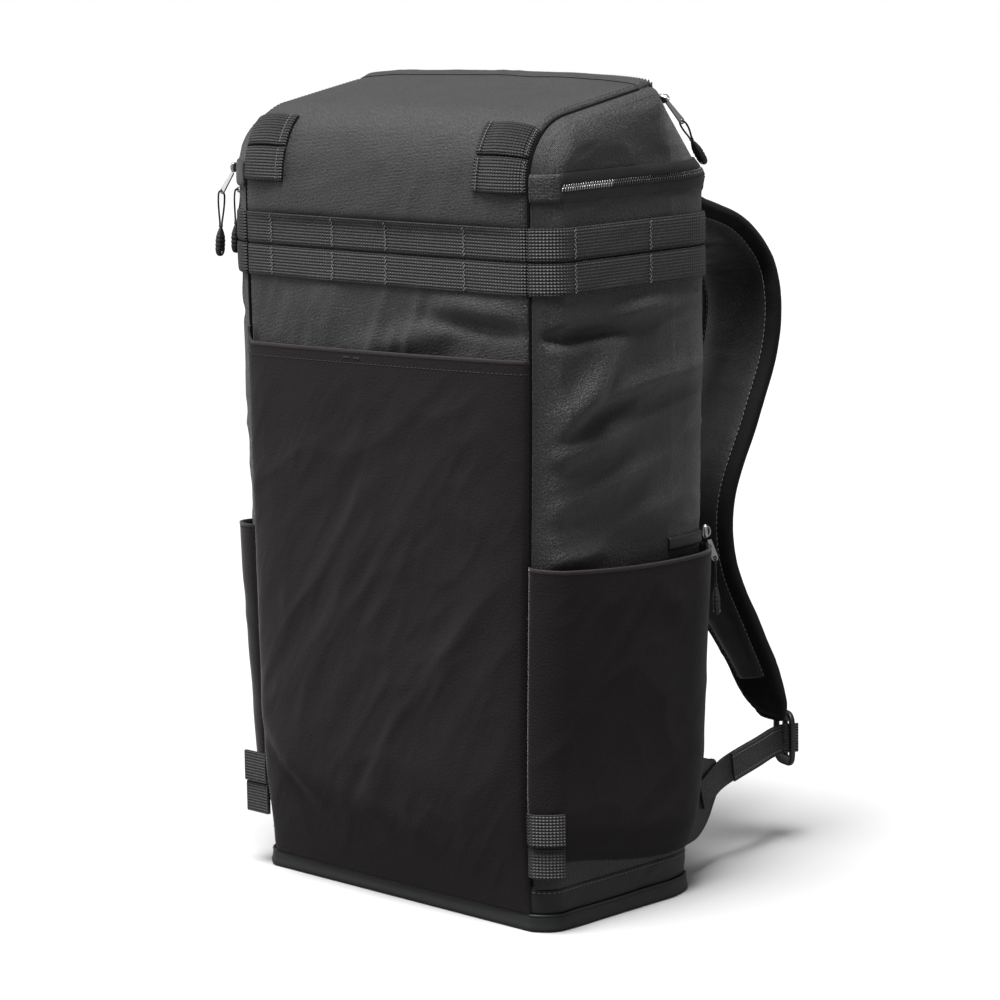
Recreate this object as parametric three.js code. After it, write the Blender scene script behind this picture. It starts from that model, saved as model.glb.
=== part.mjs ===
// A tall camera backpack that stands upright on its base, in millimetres.
// +Z is up, the front faces -Y, the shoulder straps are on the +Y side.
// The origin is the middle of the base, where it meets the floor.
import * as THREE from 'three';

// Body
const baseHalfWidth = 142.5;     // front corner seam to the middle plane, at the base
const seamFlare = 11;            // how much wider each half is at flareTop
const flareTop = 500;
const sideLean = 11;             // how far the soft body leans to -X at flareTop
const frontDepth = 97;           // middle plane to the front seam
const frontTuck = 5;             // how much less that is at the base
const frontTuckTop = 120;
const baseBackDepth = 85;        // middle plane to the back face, at the base
const backFlare = 14;            // how much deeper the back is at backFlareTop
const backFlareTop = 120;
const sideBulge = 19;            // how far a side panel stands out past its seams
const baseBulge = 14;            // the same at the base
const leftBulge = 5;             // how much further the left one stands out
const frontRound = 19;           // how fast that bulge rises behind the front seam
const backRound = 38;            // and ahead of the back seam
const frontCrown = 5;            // outward crown of the front panel
const topCrown = 8;              // outward crown of the top
const panelWall = 3;             // padded cloth panel
const seamGap = 0.3;             // clearance between sewn pieces
const trimGap = 0.9;             // clearance under the trim that lies on a rounded panel

const foldLong = 60;             // half length, half width and height of a soft fold
const foldWide = 10;
const foldHigh = 2.5;

// Side outline, above the straight front
const frontTopHeight = 575;      // where the front starts to turn over the top
const frontTopRadius = 50;
const topSlope = 0.2;            // rise of the top towards the back
const topBackDepth = 42;         // middle plane to the top edge at the back
const topEdgeRadius = 8;
const backTopHeight = 576;       // where the slanting back top meets the upright back
const backTopHem = 14;           // how far the back top reaches down from there

// Base
const weltHeight = 12;
const weltLip = 4;               // how far the welt flares out of the body
const bandHeight = 33;           // top seam of the coated band above the base
const bandWall = 2.5;
const basePlate = 4;
const baseInset = 3;             // body outline to the base plate's edge

// Back
const backPadding = 12;
const backCrown = 4;

// Front pocket
const pocketCloth = 1.5;
const pocketHem = 436;           // height of the hem at the left seam
const pocketHemRise = 6;         // how much higher it is at the right seam
const pocketHemEar = 12;         // upturn of the hem at the left seam
const pocketCorner = 0.06;       // share of the half width that the hem's ear takes
const pocketBulge = 15;
const pocketRise = 0.3;          // share of the pocket's height that takes it to its full bulge
const pocketHemGape = 8;

// Side pockets
const sidePocketHem = 285;       // hem height at the front seam
const sidePocketSag = 6;         // how far the hem sags in the middle
const sidePocketBulge = 11;
const sidePocketRise = 0.14;     // share of the pocket's height that takes it to its full bulge
const sidePocketGape = 16;       // clear space at the hem's middle
const sidePocketFloorFront = 54; // bottom edge of the pocket, ahead
const sidePocketFloorBack = 36;  // and at the back seam

// Webbing
const webWidth = 25;
const webThick = 1.6;
const webGap = 1;                // between the two rows
const webTop = 541.5;            // top edge of the upper row at the front
const webRise = 5;               // how much the side rows rise towards the back
const topLoopLength = 50;
const topLoopLift = 3;           // how far a top loop arches off the panel
const topLoopThick = 2;          // of its folded hem
const topLoopAlong = -8;         // start of the lower loops, from the turn of the front
const lowLoopTop = 95;
const lowLoopLength = 24;        // of a left loop
const lowLoopLaid = 15;          // how far back a right loop lies
const lowLoopOff = 4;            // front seam to a left loop's inner face
const lowLoopClear = 2.2;        // pocket cloth to a right loop
const lowLoopSlit = 0.6;         // between the two layers of a folded low loop
const lowLayer = 1.4;            // thickness of one layer

// Zippers
const zipTape = 22;              // width of a side zipper's tape
const zipTapeThick = 1;
const zipCoil = 5;               // width of the closed coil
const zipCoilProud = 2.2;
const coilEdge = 0.8;            // how far the coil's sides lean in
const sideZipHeight = 571;       // middle of the coil at the front end
const sideZipRise = 6;
const sideZipStart = 26;         // front seam to the open end of the tape
const patchHeight = 21;
const topZipTape = 20;

// Zipper pulls
const sliderLength = 11;
const sliderWidth = 8;
const sliderHeight = 6;
const sliderRise = 3;            // a left slider's middle above the coil's
const frontSliderShare = 0.079;  // places of the left sliders, as shares of the panel's depth
const backSliderShare = 0.168;
const pocketSliderRise = 4.7;    // the pocket's slider above its hem, and off the back seam
const pocketSliderOut = 9;
const pocketSliderBack = 4.8;
const topSliderDown = 14.7;      // the top slider past the top edge, and past the side seam
const topSliderOut = 5.9;
const cordDiameter = 1.6;
const cordLoopHalf = 3.4;        // half the distance between the two strands
const gripLength = 24;
const gripWidth = 8;
const gripThick = 5;

// Shoulder straps and their webbing
const strapWidth = 70;
const strapThick = 14;
const strapFaceInset = 13;       // rim that the grey inner face leaves bare
const strapFaceThick = 2;
const strapReach = 240;          // how far the straps bow out behind the middle plane
const buckleLength = 48;
const buckleWidth = 30;
const buckleThick = 4.5;
const buckleBar = 5;
const buckleSlot = 6;
const buckleCorner = 5;
const buckleGap = 0.4;
const buckleShift = 5;           // buckle's middle past the pad's tip, along the buckle
const buckleDrop = 18;           // and below it
const anchorWall = 3;
const wingTurn = 0.2;            // how far the anchor wing turns in, in radians
const wingLow = 30;
const wingTop = 100;
const wingReach = 72;
const wingClear = 1.2;
const webAnchorHeight = 66;
const webPast = 10;              // how far the lower webbing reaches past the buckle
const tailFrom = 0.46;           // the folded back end, as shares of the lower webbing
const tailTo = 0.8;

// Folded tab over the right side pocket
const tabFrom = 0.72;            // its ends as shares of the side panel's depth
const tabTo = 0.95;
const tabRise = 3;
const tabHeight = 11;
const tabThick = 2.2;

const colours = {
  cloth: [0x2b2c2e, 0.75],
  stretch: [0x221f20, 0.9],
  webbing: [0x303235, 0.8],
  coated: [0x26292a, 0.6],
  mesh: [0x3a3c3f, 0.6],
  padding: [0x17181a, 0.85],
  plastic: [0x141516, 0.45],
  rubber: [0x0f1010, 0.6],
  metal: [0x8c8d90, 0.35],
};

const backpack = new THREE.Group();
backpack.name = 'camera_backpack';

const clamp = THREE.MathUtils.clamp;
const lerp = THREE.MathUtils.lerp;
const smooth = (t) => THREE.MathUtils.smoothstep(t, 0, 1);
const steps = (from, to, count) => Array.from(
  { length: count + 1 }, (_, i) => lerp(from, to, i / count),
);

// Adds one closed body. The triangles are turned outwards together if they face in, and the
// whole leans to -X with its height, as the soft bag does.
function addBody(name, finish, points, triangles) {
  const positions = new Float32Array(points.length * 3);
  points.forEach((p, i) => {
    const lean = sideLean * (p.z / flareTop);
    positions.set([p.x - lean, p.y, p.z], i * 3);
  });
  let volume = 0;
  for (const [a, b, c] of triangles) {
    volume += points[a].dot(points[b].clone().cross(points[c]));
  }
  const facing = volume < 0 ? triangles.map(([a, b, c]) => [a, c, b]) : triangles;
  const geometry = new THREE.BufferGeometry();
  geometry.setAttribute('position', new THREE.BufferAttribute(positions, 3));
  geometry.setIndex(facing.flat());
  geometry.computeVertexNormals();
  const [color, roughness] = colours[finish];
  const metalness = finish === 'metal' ? 0.9 : 0;
  const material = new THREE.MeshStandardMaterial({ color, roughness, metalness });
  const mesh = new THREE.Mesh(geometry, material);
  mesh.name = name;
  backpack.add(mesh);
}

// A wall between two like grids of points, grid[i][j]. With ring true the first and last
// rows of the grids are neighbours.
function addWall(name, finish, outer, inner, ring = false) {
  const rows = outer.length;
  const columns = outer[0].length;
  const points = [...outer.flat(), ...inner.flat()];
  const triangles = [];
  const at = (side, i, j) => side * rows * columns + (i % rows) * columns + j;
  const quad = (a, b, c, d) => triangles.push([a, b, c], [a, c, d]);
  const lastRow = ring ? rows : rows - 1;
  for (let i = 0; i < lastRow; i++) {
    for (let j = 0; j < columns - 1; j++) {
      quad(at(0, i, j), at(0, i + 1, j), at(0, i + 1, j + 1), at(0, i, j + 1));
      quad(at(1, i, j), at(1, i, j + 1), at(1, i + 1, j + 1), at(1, i + 1, j));
    }
    quad(at(0, i, 0), at(1, i, 0), at(1, i + 1, 0), at(0, i + 1, 0));
    const end = columns - 1;
    quad(at(0, i, end), at(0, i + 1, end), at(1, i + 1, end), at(1, i, end));
  }
  if (!ring) {
    for (let j = 0; j < columns - 1; j++) {
      quad(at(0, 0, j), at(0, 0, j + 1), at(1, 0, j + 1), at(1, 0, j));
      const end = rows - 1;
      quad(at(0, end, j), at(1, end, j), at(1, end, j + 1), at(0, end, j + 1));
    }
  }
  addBody(name, finish, points, triangles);
}

// A bar of a convex section carried along stations. A station has its middle, the unit
// directions across and through it, and its width and thickness. The section's points are
// shares of half the width and half the thickness.
function addBar(name, finish, stations, section) {
  const count = section.length;
  const points = stations.flatMap((s) => section.map(([u, v]) => s.middle.clone()
    .addScaledVector(s.across, u * s.width / 2)
    .addScaledVector(s.through, v * s.thick / 2)));
  const triangles = [];
  for (let i = 0; i < stations.length - 1; i++) {
    for (let j = 0; j < count; j++) {
      const next = (j + 1) % count;
      const a = i * count + j;
      const b = i * count + next;
      triangles.push([a, b, b + count], [a, b + count, a + count]);
    }
  }
  const last = (stations.length - 1) * count;
  for (let j = 1; j < count - 1; j++) {
    triangles.push([0, j + 1, j], [last, last + j, last + j + 1]);
  }
  addBody(name, finish, points, triangles);
}

const flatSection = [[-1, -1], [1, -1], [1, 1], [-1, 1]];
const softSection = [[-1, -0.35], [-0.86, -1], [0.86, -1], [1, -0.35],
  [1, 0.35], [0.86, 1], [-0.86, 1], [-1, 0.35]];

// A three.js geometry as a body, moved by a matrix. Its vertices are merged by place.
function addGeometry(name, finish, parts) {
  const points = [];
  const triangles = [];
  for (const { geometry, matrix } of parts) {
    const found = new Map();
    const place = geometry.getAttribute('position');
    const index = geometry.index ? [...geometry.index.array] : [...Array(place.count).keys()];
    const corner = index.map((i) => {
      const p = new THREE.Vector3().fromBufferAttribute(place, i);
      const key = p.toArray().map((n) => Math.round(n * 1e4)).join();
      if (!found.has(key)) {
        found.set(key, points.push(p.applyMatrix4(matrix)) - 1);
      }
      return found.get(key);
    });
    for (let i = 0; i < corner.length; i += 3) {
      const [a, b, c] = corner.slice(i, i + 3);
      if (a !== b && b !== c && c !== a) {
        triangles.push([a, b, c]);
      }
    }
  }
  addBody(name, finish, points, triangles);
}

// Half the seam-to-seam width and the back face's place at a height
const seamHalf = (z) => baseHalfWidth + seamFlare * smooth(z / flareTop);
const backAt = (z) => baseBackDepth + backFlare * smooth(z / backFlareTop);
const frontAt = (z) => frontDepth - frontTuck * (1 - smooth(z / frontTuckTop));
const bulgeAt = (side, z) => lerp(baseBulge, sideBulge, smooth(z / flareTop))
  + (side < 0 ? leftBulge * smooth(z / backFlareTop) : 0);

// The side outline over the top: up the front, over the front arc, along the sloping top,
// round the top edge and down the slant to the back.
const topTilt = Math.atan(topSlope);
const arcMiddle = new THREE.Vector2(-frontDepth + frontTopRadius, frontTopHeight);
const arcEnd = new THREE.Vector2(
  arcMiddle.x - frontTopRadius * Math.sin(topTilt),
  arcMiddle.y + frontTopRadius * Math.cos(topTilt),
);
const topBack = new THREE.Vector2(topBackDepth, arcEnd.y + (topBackDepth - arcEnd.x) * topSlope);
const backTop = new THREE.Vector2(backAt(backTopHeight), backTopHeight);

function frontPath(bottom) {
  const path = new THREE.Path();
  path.moveTo(-frontAt(bottom), bottom);
  for (const z of steps(bottom, frontTuckTop, 3).slice(1)) {
    path.lineTo(-frontAt(z), z);
  }
  path.lineTo(-frontDepth, frontTopHeight);
  const turnEnd = Math.PI / 2 + topTilt;
  path.absarc(arcMiddle.x, arcMiddle.y, frontTopRadius, Math.PI, turnEnd, true);
  path.lineTo(topBack.x, topBack.y);
  return path;
}

function slantPath() {
  const path = new THREE.Path();
  const down = backTop.clone().sub(topBack).normalize();
  const start = topBack.clone().addScaledVector(down, topEdgeRadius);
  path.moveTo(topBack.x, topBack.y);
  path.quadraticCurveTo(topBack.x + topEdgeRadius / 2, topBack.y, start.x + 1, start.y);
  path.lineTo(backTop.x, backTop.y);
  path.lineTo(backTop.x, backTop.y - backTopHem);
  return path;
}

// Points along a path, no further apart than step on a line and 4 to an arc or curve
function pointsAlong(path, step, arcSteps) {
  const found = [];
  for (const curve of path.curves) {
    const pieces = curve.isLineCurve ? Math.ceil(curve.getLength() / step) : arcSteps;
    const points = curve.getPoints(pieces);
    found.push(...(found.length ? points.slice(1) : points));
  }
  return found;
}

const outline = [
  ...pointsAlong(frontPath(0), 40, 10),
  ...pointsAlong(slantPath(), 20, 3).slice(1),
];
for (const z of steps(backTopHeight - backTopHem, 0, 16).slice(1)) {
  outline.push(new THREE.Vector2(backAt(z), z));
}

// Shortest distance from a point of the side view to the outline
function toOutline(y, z) {
  const point = new THREE.Vector2(y, z);
  let least = Infinity;
  for (let i = 0; i < outline.length - 1; i++) {
    const edge = outline[i + 1].clone().sub(outline[i]);
    const from = point.clone().sub(outline[i]);
    const share = clamp(from.dot(edge) / edge.lengthSq(), 0, 1);
    least = Math.min(least, from.addScaledVector(edge, -share).length());
  }
  return least;
}

// Top of the outline above a depth, read off its front, top and slant
function outlineTop(y) {
  let highest = 0;
  for (let i = 0; i < outline.length - 1; i++) {
    const [a, b] = [outline[i], outline[i + 1]];
    if (b.x > a.x && y >= a.x - 1e-6 && y <= b.x + 1e-6) {
      highest = Math.max(highest, lerp(a.y, b.y, (y - a.x) / (b.x - a.x)));
    }
  }
  return highest || frontTopHeight;
}

// Soft folds. A fold is a low ridge or, with a negative height, a trough: it has its middle
// as shares of the panel's width and of the body's height, its half length, half width and
// height as shares of foldLong, foldWide and foldHigh, and its turn from level in degrees.
const bodyHeight = topBack.y;
const frontFolds = [
  { across: 0.55, up: 0.722, long: 0.917, wide: 0.9, turn: -8, high: -1 },
  { across: 0.3, up: 0.705, long: 1, wide: 1, turn: 12, high: 0.8 },
  { across: -0.35, up: 0.725, long: 0.75, wide: 1.4, turn: -55, high: 0.6 },
];
const pocketFolds = [
  { across: -0.78, up: 0.17, long: 1.167, wide: 1.2, turn: -42, high: 1.4 },
  { across: -0.86, up: 0.155, long: 0.75, wide: 0.8, turn: -40, high: -1.2 },
  { across: 0.62, up: 0.35, long: 1.167, wide: 1.3, turn: 62, high: 1 },
  { across: 0.3, up: 0.5, long: 1.333, wide: 1.8, turn: 50, high: 0.8 },
  { across: -0.1, up: 0.12, long: 1.5, wide: 1.4, turn: -12, high: 0.72 },
];
const sideFolds = [
  { across: -0.45, up: 0.69, long: 1, wide: 0.8, turn: 30, high: 1.2 },
  { across: -0.55, up: 0.715, long: 0.833, wide: 0.7, turn: 8, high: -1 },
  { across: -0.35, up: 0.615, long: 1, wide: 0.9, turn: 22, high: 0.88 },
  { across: 0.1, up: 0.66, long: 1, wide: 0.9, turn: 25, high: 0.72 },
  { across: -0.3, up: 0.54, long: 0.917, wide: 0.9, turn: 22, high: 0.8 },
  { across: -0.2, up: 0.48, long: 1, wide: 0.8, turn: 18, high: -0.72 },
];

function foldHeight(folds, across, z, halfWidth) {
  let sum = 0;
  for (const fold of folds) {
    const dx = (across - fold.across) * halfWidth;
    const dz = z - fold.up * bodyHeight;
    const turn = THREE.MathUtils.degToRad(fold.turn);
    const along = (dx * Math.cos(turn) + dz * Math.sin(turn)) / (fold.long * foldLong);
    const off = (dz * Math.cos(turn) - dx * Math.sin(turn)) / (fold.wide * foldWide);
    sum += fold.high * foldHigh * Math.exp(-along * along - off * off);
  }
  return sum;
}

// A point over the front and top panel. x is its place across, point and normal are the
// path's in the side view, and lift is measured out from the flat path.
const overFront = (x, point, normal, lift) => new THREE.Vector3(
  x, point.x + normal.x * lift, point.y + normal.y * lift,
);

function pathNormal(points, i) {
  const ahead = points[Math.min(i + 1, points.length - 1)];
  const behind = points[Math.max(i - 1, 0)];
  const along = ahead.clone().sub(behind).normalize();
  return new THREE.Vector2(-along.y, along.x);
}

// Crown of the front and top panel over its seams, 1 in the middle and 0 at the seams
const crownShare = (across) => Math.pow(Math.max(0, 1 - across * across), 0.3);
const crownAt = (across, z) => crownShare(across) * smooth(z / frontTuckTop)
  * lerp(frontCrown, topCrown, smooth((z - frontTopHeight) / frontTopRadius));

// A point on a side panel, at a depth and height, on the right (1) or left (-1)
function onSide(side, y, z) {
  const edge = toOutline(y, z);
  const round = lerp(frontRound, backRound, smooth((y + frontDepth) / (2 * frontDepth)));
  const inward = 1 - Math.min(edge / round, 1);
  const share = Math.sqrt(Math.max(0, 1 - inward * inward));
  const across = clamp(2 * (y + frontAt(z)) / (frontAt(z) + backAt(z)) - 1, -1, 1);
  const folds = foldHeight(sideFolds, across, z, frontDepth) * share * smooth(edge / round);
  const x = seamHalf(z) + seamGap + bulgeAt(side, z) * share + folds;
  return new THREE.Vector3(side * x, y, z);
}

// Outward direction of the side panel, from its slope each way
function sideNormal(side, y, z) {
  const step = 0.5;
  const back = backAt(z);
  const y0 = clamp(y - step, -frontAt(z), back);
  const y1 = clamp(y + step, -frontAt(z), back);
  const top = outlineTop(clamp(y, -frontDepth, back));
  const z1 = Math.min(z + step, Math.max(top, z));
  const alongY = onSide(side, y1, z).sub(onSide(side, y0, z));
  const alongZ = onSide(side, y, z1).sub(onSide(side, y, z1 - 2 * step));
  return alongY.cross(alongZ).multiplyScalar(side).normalize();
}

// A point over a side panel, lifted along its outward direction and kept clear of the seam
function overSide(side, y, z, lift) {
  const p = onSide(side, y, z).addScaledVector(sideNormal(side, y, z), lift);
  p.x = side * Math.max(side * p.x, seamHalf(p.z) + seamGap);
  return p;
}

// The side panel's columns, as shares of its depth: close together where it turns in
const bodyDepth = frontDepth + backAt(backTopHeight);
const frontTurn = [0, 0.07, 0.29, 0.64, 1.1].map((share) => share * frontRound / bodyDepth);
const backTurn = [1, 0.7, 0.4, 0.1, 0].map((share) => 1 - share * backRound / bodyDepth);
const sideShares = [
  ...frontTurn,
  ...steps(frontTurn.at(-1), backTurn[0], 6).slice(1, -1),
  ...backTurn,
];
const depthAt = (share, z) => lerp(-frontAt(z), backAt(z), share);

// Base plate, welt and coated band. Each follows the body's section at its own height.
function sectionAt(z) {
  const front = steps(-1, 1, 8).slice(1, -1).map((across) => {
    const x = across * seamHalf(z);
    return new THREE.Vector2(x, -frontAt(z) - crownAt(across, z));
  });
  const right = sideShares.map((share) => {
    const p = onSide(1, depthAt(share, z), z);
    return new THREE.Vector2(p.x, p.y);
  });
  const back = [0.6, 0, -0.6].map((across) => new THREE.Vector2(across * seamHalf(z), backAt(z)));
  const left = right.map((p) => new THREE.Vector2(-p.x, p.y)).reverse();
  return [...front, ...right, ...back, ...left];
}

function sectionNormals(points) {
  return points.map((p, i) => {
    const ahead = points[(i + 1) % points.length];
    const behind = points[(i + points.length - 1) % points.length];
    const along = ahead.clone().sub(behind).normalize();
    return new THREE.Vector2(along.y, -along.x);
  });
}

function ringGrid(heights) {
  const sections = heights.map(({ z, out }) => {
    const points = sectionAt(z);
    const normals = sectionNormals(points);
    return points.map((p, i) => {
      const moved = p.clone().addScaledVector(normals[i], out);
      return new THREE.Vector3(moved.x, moved.y, z);
    });
  });
  return sections[0].map((_, i) => sections.map((section) => section[i]));
}

// The welt is a rounded lip that flares out under the body
const weltOuter = [
  { z: 0, out: weltLip - 1 },
  { z: 2, out: weltLip },
  { z: weltHeight * 0.55, out: weltLip * 0.75 },
  { z: weltHeight * 0.85, out: weltLip * 0.7 },
  { z: weltHeight, out: weltLip * 0.4 },
];
const weltInner = weltOuter.map(({ z }) => ({ z, out: -baseInset + seamGap }));
addWall('base_welt', 'coated', ringGrid(weltOuter), ringGrid(weltInner), true);

const bandFrom = weltHeight + seamGap;
const bandTo = bandHeight - seamGap;
const bandOuter = steps(bandFrom, bandTo, 1).map((z) => ({ z, out: 0 }));
const bandInner = bandOuter.map(({ z }) => ({ z, out: -bandWall }));
addWall('base_band', 'coated', ringGrid(bandOuter), ringGrid(bandInner), true);

const plateEdge = ringGrid([{ z: 0, out: -baseInset }]).map((column) => column[0]);
const plateShape = new THREE.Shape(plateEdge.map((p) => new THREE.Vector2(p.x, p.y)));
addGeometry('base_panel', 'coated', [{
  geometry: new THREE.ExtrudeGeometry(plateShape, { depth: basePlate, bevelEnabled: false }),
  matrix: new THREE.Matrix4(),
}]);

// Front panel: from the band up the front and over the top to the top zipper
const wrap = pointsAlong(frontPath(bandHeight), 26, 6);
const acrossFront = [-1, -0.95, ...steps(-0.83, 0.83, 10), 0.95, 1];

function frontGrid(points, lift) {
  return acrossFront.map((across) => points.map((point, i) => {
    const normal = pathNormal(points, i);
    const folds = foldHeight(frontFolds, across, point.y, baseHalfWidth) * crownShare(across);
    const out = crownAt(across, point.y) + folds + lift;
    return overFront(across * seamHalf(point.y), point, normal, out);
  }));
}
addWall('front_panel', 'cloth', frontGrid(wrap, 0), frontGrid(wrap, -panelWall));

// Back top: the slant from the top zipper down to the padded back
const slant = pointsAlong(slantPath(), 26, 3).slice(1);
const zipSeat = topBack.clone().sub(slant[0]).normalize().multiplyScalar(-seamGap);
slant[0].add(zipSeat);

const slantFoot = slant.at(-1).y;
const slantCrown = (across, z) => topCrown * crownShare(across)
  * clamp((z - slantFoot) / (topBack.y - slantFoot - topZipTape * topSlope), 0, 1);

// The crown lifts the slant the way it lifts the top, so that the two stay joined
const towardsBack = topBack.clone().sub(arcEnd).normalize();
const topNormal = new THREE.Vector2(-towardsBack.y, towardsBack.x);
function overSlant(across, point, normal, lift) {
  const raised = point.clone().addScaledVector(topNormal, slantCrown(across, point.y));
  return overFront(across * seamHalf(point.y), raised, normal, lift);
}
const slantNormal = (i) => (i === 0 ? topNormal : pathNormal(slant, i));
const slantGrid = (lift) => acrossFront.map((across) => slant.map(
  (point, i) => overSlant(across, point, slantNormal(i), lift),
));
addWall('back_top_panel', 'cloth', slantGrid(0), slantGrid(-panelWall));

// Side panels
const topRows = [1.2, 0.7, 0.35, 0.1, 0];
const sideRows = (top) => [
  ...steps(bandHeight, top - topRows[0] * frontRound, 17),
  ...topRows.slice(1).map((part) => top - part * frontRound),
];
const sideGrid = (side, lift) => sideShares.map((share) => {
  const top = outlineTop(depthAt(share, backTopHeight));
  return sideRows(top).map((z) => overSide(side, depthAt(share, z), z, lift));
});
for (const [label, side] of [['right', 1], ['left', -1]]) {
  addWall(`side_panel_${label}`, 'cloth', sideGrid(side, 0), sideGrid(side, -panelWall));
}

// Padded back panel
const backPanelTop = backTopHeight - backTopHem - seamGap;
const backRows = [
  ...steps(bandHeight, backFlareTop, 4),
  ...steps(backFlareTop, backPanelTop, 3).slice(1),
];
const backGrid = (inward) => steps(-1, 1, 6).map((across) => backRows.map((z) => {
  const crown = inward ? 0 : backCrown * crownShare(across) * Math.sin(Math.PI * z / backPanelTop);
  return new THREE.Vector3(across * seamHalf(z), backAt(z) + crown - inward, z);
}));
addWall('back_panel', 'padding', backGrid(0), backGrid(backPadding));

// Front pocket: stretch cloth sewn into both front seams and the base, open at the hem
const pocketShares = [-1, -0.985, -0.95, -0.88, ...steps(-0.76, 0.78, 9), 0.91, 0.97, 1];

function pocketHemAt(across) {
  const ear = smooth((-across - 1 + pocketCorner) / pocketCorner);
  return pocketHem + pocketHemRise * (across + 1) / 2 + pocketHemEar * ear;
}

// How far a pocket stands off its panel: nothing at the seams and the bottom, the full bulge
// part way up, and the gape at the hem
const standOff = (across, up, { rise, bulge, gape }) => crownShare(across)
  * (bulge * (1 - Math.pow(1 - Math.min(up / rise, 1), 2))
    + (gape - bulge) * smooth((up - rise) / (1 - rise)));
const frontFill = { rise: pocketRise, bulge: pocketBulge, gape: pocketHemGape };
const sideFill = { rise: sidePocketRise, bulge: sidePocketBulge, gape: sidePocketGape };

function frontPocketGrid(lift) {
  return pocketShares.map((across) => {
    const rows = steps(weltHeight + seamGap, pocketHemAt(across), 20);
    return rows.map((z) => {
      const up = z / pocketHemAt(across);
      const folds = foldHeight(pocketFolds, across, z, baseHalfWidth) * crownShare(across);
      const out = crownAt(across, z) + standOff(across, up, frontFill) + folds;
      return new THREE.Vector3(across * seamHalf(z), -frontAt(z) - out - lift, z);
    });
  });
}
addWall('front_pocket', 'stretch', frontPocketGrid(seamGap + pocketCloth), frontPocketGrid(seamGap));

// Side pockets
const sidePocketHemAt = (share) => sidePocketHem - sidePocketSag * Math.sin(Math.PI * share * 0.7);
const sidePocketFloorAt = (share) => lerp(
  sidePocketFloorFront, sidePocketFloorBack, smooth(share / 0.8),
);

function sidePocketLift(share, z) {
  const floor = sidePocketFloorAt(share);
  const up = clamp((z - floor) / (sidePocketHemAt(share) - floor), 0, 1);
  return standOff(2 * share - 1, up, sideFill);
}

const sidePocketGrid = (side, lift) => sideShares.map((share) => {
  const rows = steps(sidePocketFloorAt(share), sidePocketHemAt(share), 12);
  return rows.map((z) => {
    const out = sidePocketLift(share, z) + lift;
    return overSide(side, depthAt(share, z), z, out);
  });
});
for (const [label, side] of [['right', 1], ['left', -1]]) {
  const outer = sidePocketGrid(side, seamGap + pocketCloth);
  addWall(`side_pocket_${label}`, 'stretch', outer, sidePocketGrid(side, seamGap));
}

// Webbing rows across the front and round both sides
const webRows = [
  ['upper', webTop],
  ['lower', webTop - webWidth - webGap],
];
for (const [row, top] of webRows) {
  const band = (lift) => acrossFront.map((across) => [top - webWidth, top].map((z) => {
    const folds = foldHeight(frontFolds, across, z, baseHalfWidth) * crownShare(across);
    const out = crownAt(across, z) + folds + lift;
    return new THREE.Vector3(across * seamHalf(z), -frontAt(z) - out, z);
  }));
  addWall(`front_webbing_${row}`, 'webbing', band(seamGap + webThick), band(seamGap));
  for (const [label, side] of [['right', 1], ['left', -1]]) {
    const sideBand = (lift) => sideShares.map((share) => [top - webWidth, top].map((level) => {
      const z = level + webRise * share;
      return overSide(side, depthAt(share, z), z, lift);
    }));
    const outer = sideBand(trimGap + webThick);
    addWall(`side_webbing_${row}_${label}`, 'webbing', outer, sideBand(trimGap));
  }
}

// Top loops: pairs of short bands on the turn of the front, sewn into the side seams
const loopRun = frontPath(0);
const runLength = loopRun.getLength();
const turnStart = runLength - (topBack.distanceTo(arcEnd)
  + frontTopRadius * (Math.PI / 2 - topTilt));
for (const [row, start] of [['upper', topLoopAlong + webWidth + webGap], ['lower', topLoopAlong]]) {
  for (const [label, side] of [['right', 1], ['left', -1]]) {
    const from = turnStart + start;
    const rows = steps(from, from + webWidth, 3).map((run) => {
      const point = loopRun.getPointAt(run / runLength);
      const along = loopRun.getTangentAt(run / runLength);
      return { point, normal: new THREE.Vector2(-along.y, along.x) };
    });
    const band = (lift) => steps(0, 1, 6).map((share) => rows.map(({ point, normal }) => {
      const x = side * (seamHalf(point.y) - share * topLoopLength);
      const arch = topLoopLift * Math.sin(Math.PI * share);
      const out = crownAt(x / seamHalf(point.y), point.y) + arch + lift;
      return overFront(x, point, normal, out);
    }));
    const outer = band(seamGap + topLoopThick);
    addWall(`top_loop_${label}_${row}`, 'webbing', outer, band(seamGap));
  }
}

// Low loops: folded bands sewn into the front seams. The right pair lies back along the side
// pocket, the left pair stands out of the seam in line with the front.
const foldSteps = 4;

// A band folded back on itself: out along one layer, round the fold and back along the other.
// run gives points along the first layer's inner face, face the way out of it.
function foldedBand(name, run, face, low) {
  const reach = lowLayer / 2;
  const turn = (2 * reach + lowLoopSlit) / 2;
  const end = run.at(-1);
  const ahead = end.clone().sub(run.at(-2)).normalize();
  const middle = end.clone().addScaledVector(face, reach + turn);
  const centres = [
    ...run.map((p) => p.clone().addScaledVector(face, reach)),
    ...steps(0, Math.PI, foldSteps).slice(1, -1).map((angle) => middle.clone()
      .addScaledVector(face, -turn * Math.cos(angle))
      .addScaledVector(ahead, turn * Math.sin(angle))),
    ...run.map((p) => p.clone().addScaledVector(face, reach + 2 * turn)).reverse(),
  ];
  const across = new THREE.Vector3(0, 0, 1);
  const stations = centres.map((centre, i) => {
    const next = centres[Math.min(i + 1, centres.length - 1)];
    const last = centres[Math.max(i - 1, 0)];
    const along = next.clone().sub(last).normalize();
    const through = along.clone().cross(across).normalize();
    const at = new THREE.Vector3(centre.x, centre.y, low + webWidth / 2);
    return { middle: at, across, through, width: webWidth, thick: lowLayer };
  });
  addBar(name, 'webbing', stations, flatSection);
}

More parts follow.
